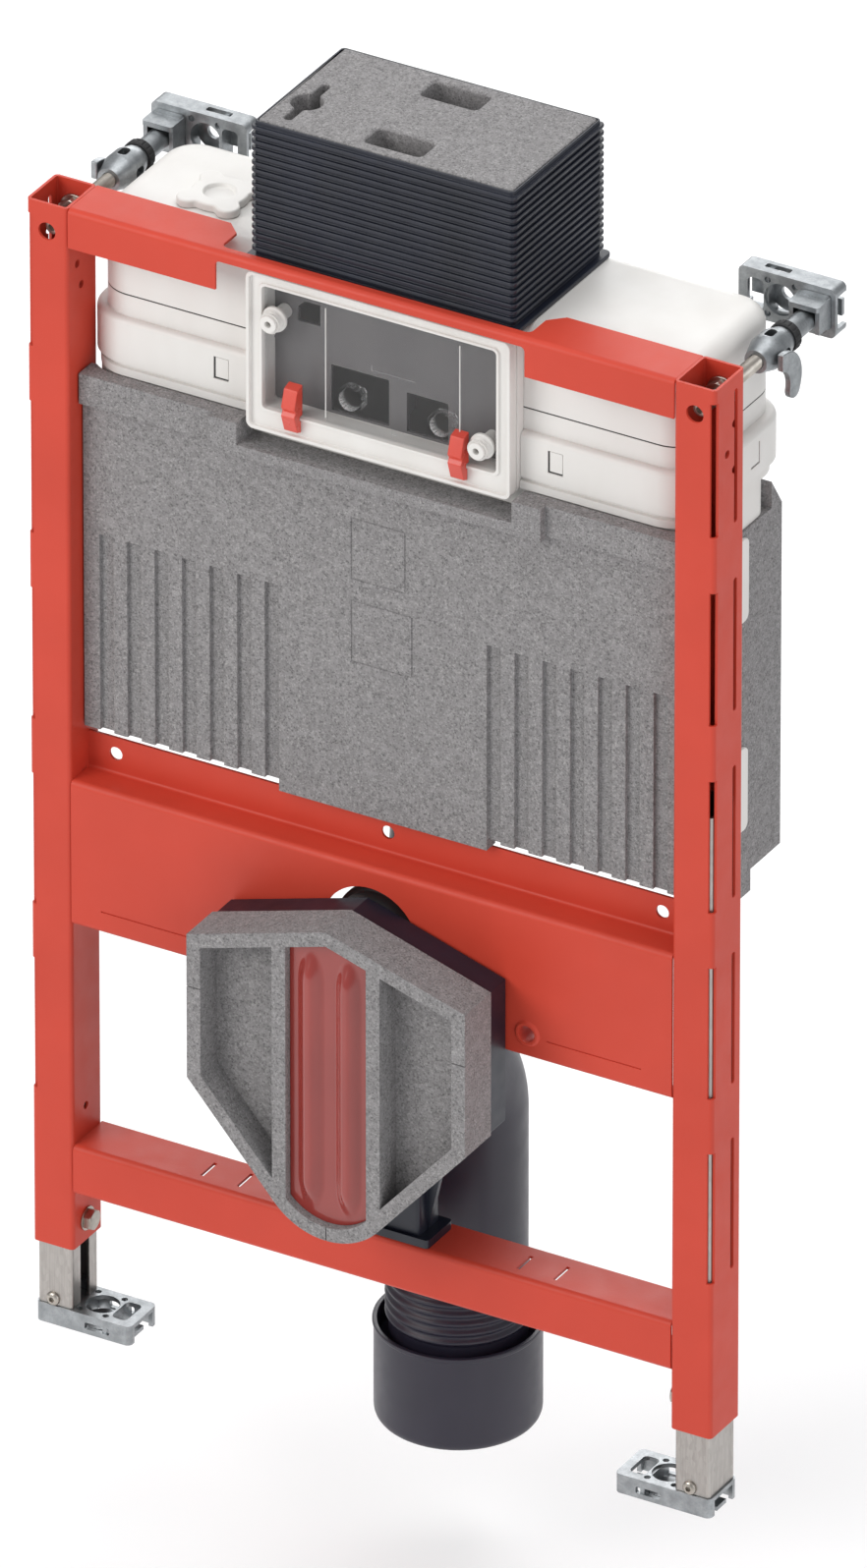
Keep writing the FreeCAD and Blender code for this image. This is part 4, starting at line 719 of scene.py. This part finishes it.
# Every other node keeps its own form and gets its edges rounded, by a radius in mm for each kind of piece.
edge_rounds = {
    "top_bar": 0.45, "lower_bar": 0.45, "toilet_plate": 0.45, "post": 0.4,
    "cistern_tank": 1.0, "cistern_cover": 0.7, "inlet_cap": 0.7,
    "foam_shell_front": 1.0, "foam_shell_back": 1.6, "bowl_cover": 1.4, "foam_plug": 1.4,
    "service_frame": 0.6, "splash_panel": 0.0, "panel_bulkhead": 0.4, "latch": 0.6,
    "shaft_collar": 0.5, "cover_backing": 1.2, "flush_coupling": 0.6, "drain_holder": 1.0,
    "foot_tube": 0.4, "foot_plate": 0.6, "swivel_head": 0.6, "lock_ring": 0.3, "lock_lever": 0.9,
    "wall_clip": 0.7, "wall_plate": 0.6, "side_clips": 0.6,
}
paired_faces = ("cistern_cover", "panel_bulkhead", "splash_panel")
made_anew = {"drain_bend", "drain_cup", "flush_bend", "wall_rod_left", "wall_rod_right",
             "service_nozzles", "clamp_bolt_left", "clamp_bolt_right", "cover_insert"}
for node_name in sorted(set(nodes) - made_anew):
    kind = node_name.removesuffix("_left").removesuffix("_right")
    piece = softened(node_name, edge_rounds[kind], kind in paired_faces)
    if kind in ("foot_plate", "wall_plate"):
        open_inner_end(piece, kind, 1 if node_name.endswith("right") else -1)


# Floor, light and camera


def look_at(thing, place, target):
    """Puts a light or camera at a place, with its view along the line to the target."""
    thing.location = place
    thing.rotation_euler = (Vector(target) - Vector(place)).to_track_quat("-Z", "Y").to_euler()


def make_floor():
    """Pale floor, just under the drain cup and the feet at the end of their travel."""
    height = metres((0, 0, FLOOR_Z))[2]
    reach = 12.0
    corners = [(x, y, height) for x, y in ((-reach, -reach), (reach, -reach), (reach, reach), (-reach, reach))]
    mesh = bpy.data.meshes.new("studio_floor")
    mesh.from_pydata(corners, [], [(0, 1, 2, 3)])
    floor = bpy.data.objects.new("studio_floor", mesh)
    bpy.context.scene.collection.objects.link(floor)
    made, tree, shader, at = material("pale_floor", Emission_Strength=0.04)
    tone = tint(tree, noise(tree, at, 3.0), (0.985, 0.985, 0.985), (0.995, 0.995, 0.995))
    rough = remap(tree, noise(tree, at, 9.0), 0.3, 0.7, 0.85, 0.95)
    wire(tree, shader, tone, rough, [(noise(tree, at, 300.0), 0.0001, 0.1)])
    mesh.materials.append(made)


def area_light(name, place, size, power, target, colour=(1.0, 1.0, 1.0)):
    """Square soft light of a size in metres and a power in watts."""
    data = bpy.data.lights.new(name, "AREA")
    data.shape = "SQUARE"
    data.size = size
    data.energy = power
    data.color = colour
    lamp = bpy.data.objects.new(name, data)
    bpy.context.scene.collection.objects.link(lamp)
    look_at(lamp, place, target)


make_floor()
middle = metres((0.0, -90.0, 430.0))
area_light("key_light", middle + np.array([-1.5, -2.3, 1.5]), 1.8, 46.0, middle, (1.0, 0.985, 0.965))
area_light("side_light", middle + np.array([2.4, -1.2, 0.6]), 1.6, 15.0, middle, (0.96, 0.98, 1.0))
area_light("top_light", middle + np.array([0.2, 0.1, 2.3]), 2.0, 25.0, middle)
area_light("back_light", middle + np.array([-0.8, 2.4, 1.0]), 1.8, 30.0, middle)

world = bpy.data.worlds.new("studio")
world.use_nodes = True
bpy.context.scene.world = world
ambient = world.node_tree.nodes["Background"]
ambient.inputs["Color"].default_value = (0.97, 0.98, 1.0, 1.0)
ambient.inputs["Strength"].default_value = 0.46
bpy.context.scene.view_settings.view_transform = "Standard"

VIEW_AZIMUTH = math.radians(30.0)
VIEW_ELEVATION = math.radians(30.0)
VIEW_HEIGHT = 0.9958
LENS = 800.0
camera_data = bpy.data.cameras.new("camera")
camera_data.lens = LENS
camera_data.sensor_width = 36.0
camera_data.clip_end = 100.0
camera = bpy.data.objects.new("camera", camera_data)
bpy.context.scene.collection.objects.link(camera)
aim = metres((0.0, -87.4, 429.0))
away = np.array([math.sin(VIEW_AZIMUTH) * math.cos(VIEW_ELEVATION),
                 -math.cos(VIEW_AZIMUTH) * math.cos(VIEW_ELEVATION), math.sin(VIEW_ELEVATION)])
look_at(camera, aim + away * (VIEW_HEIGHT * LENS / camera_data.sensor_width), aim)
bpy.context.scene.camera = camera
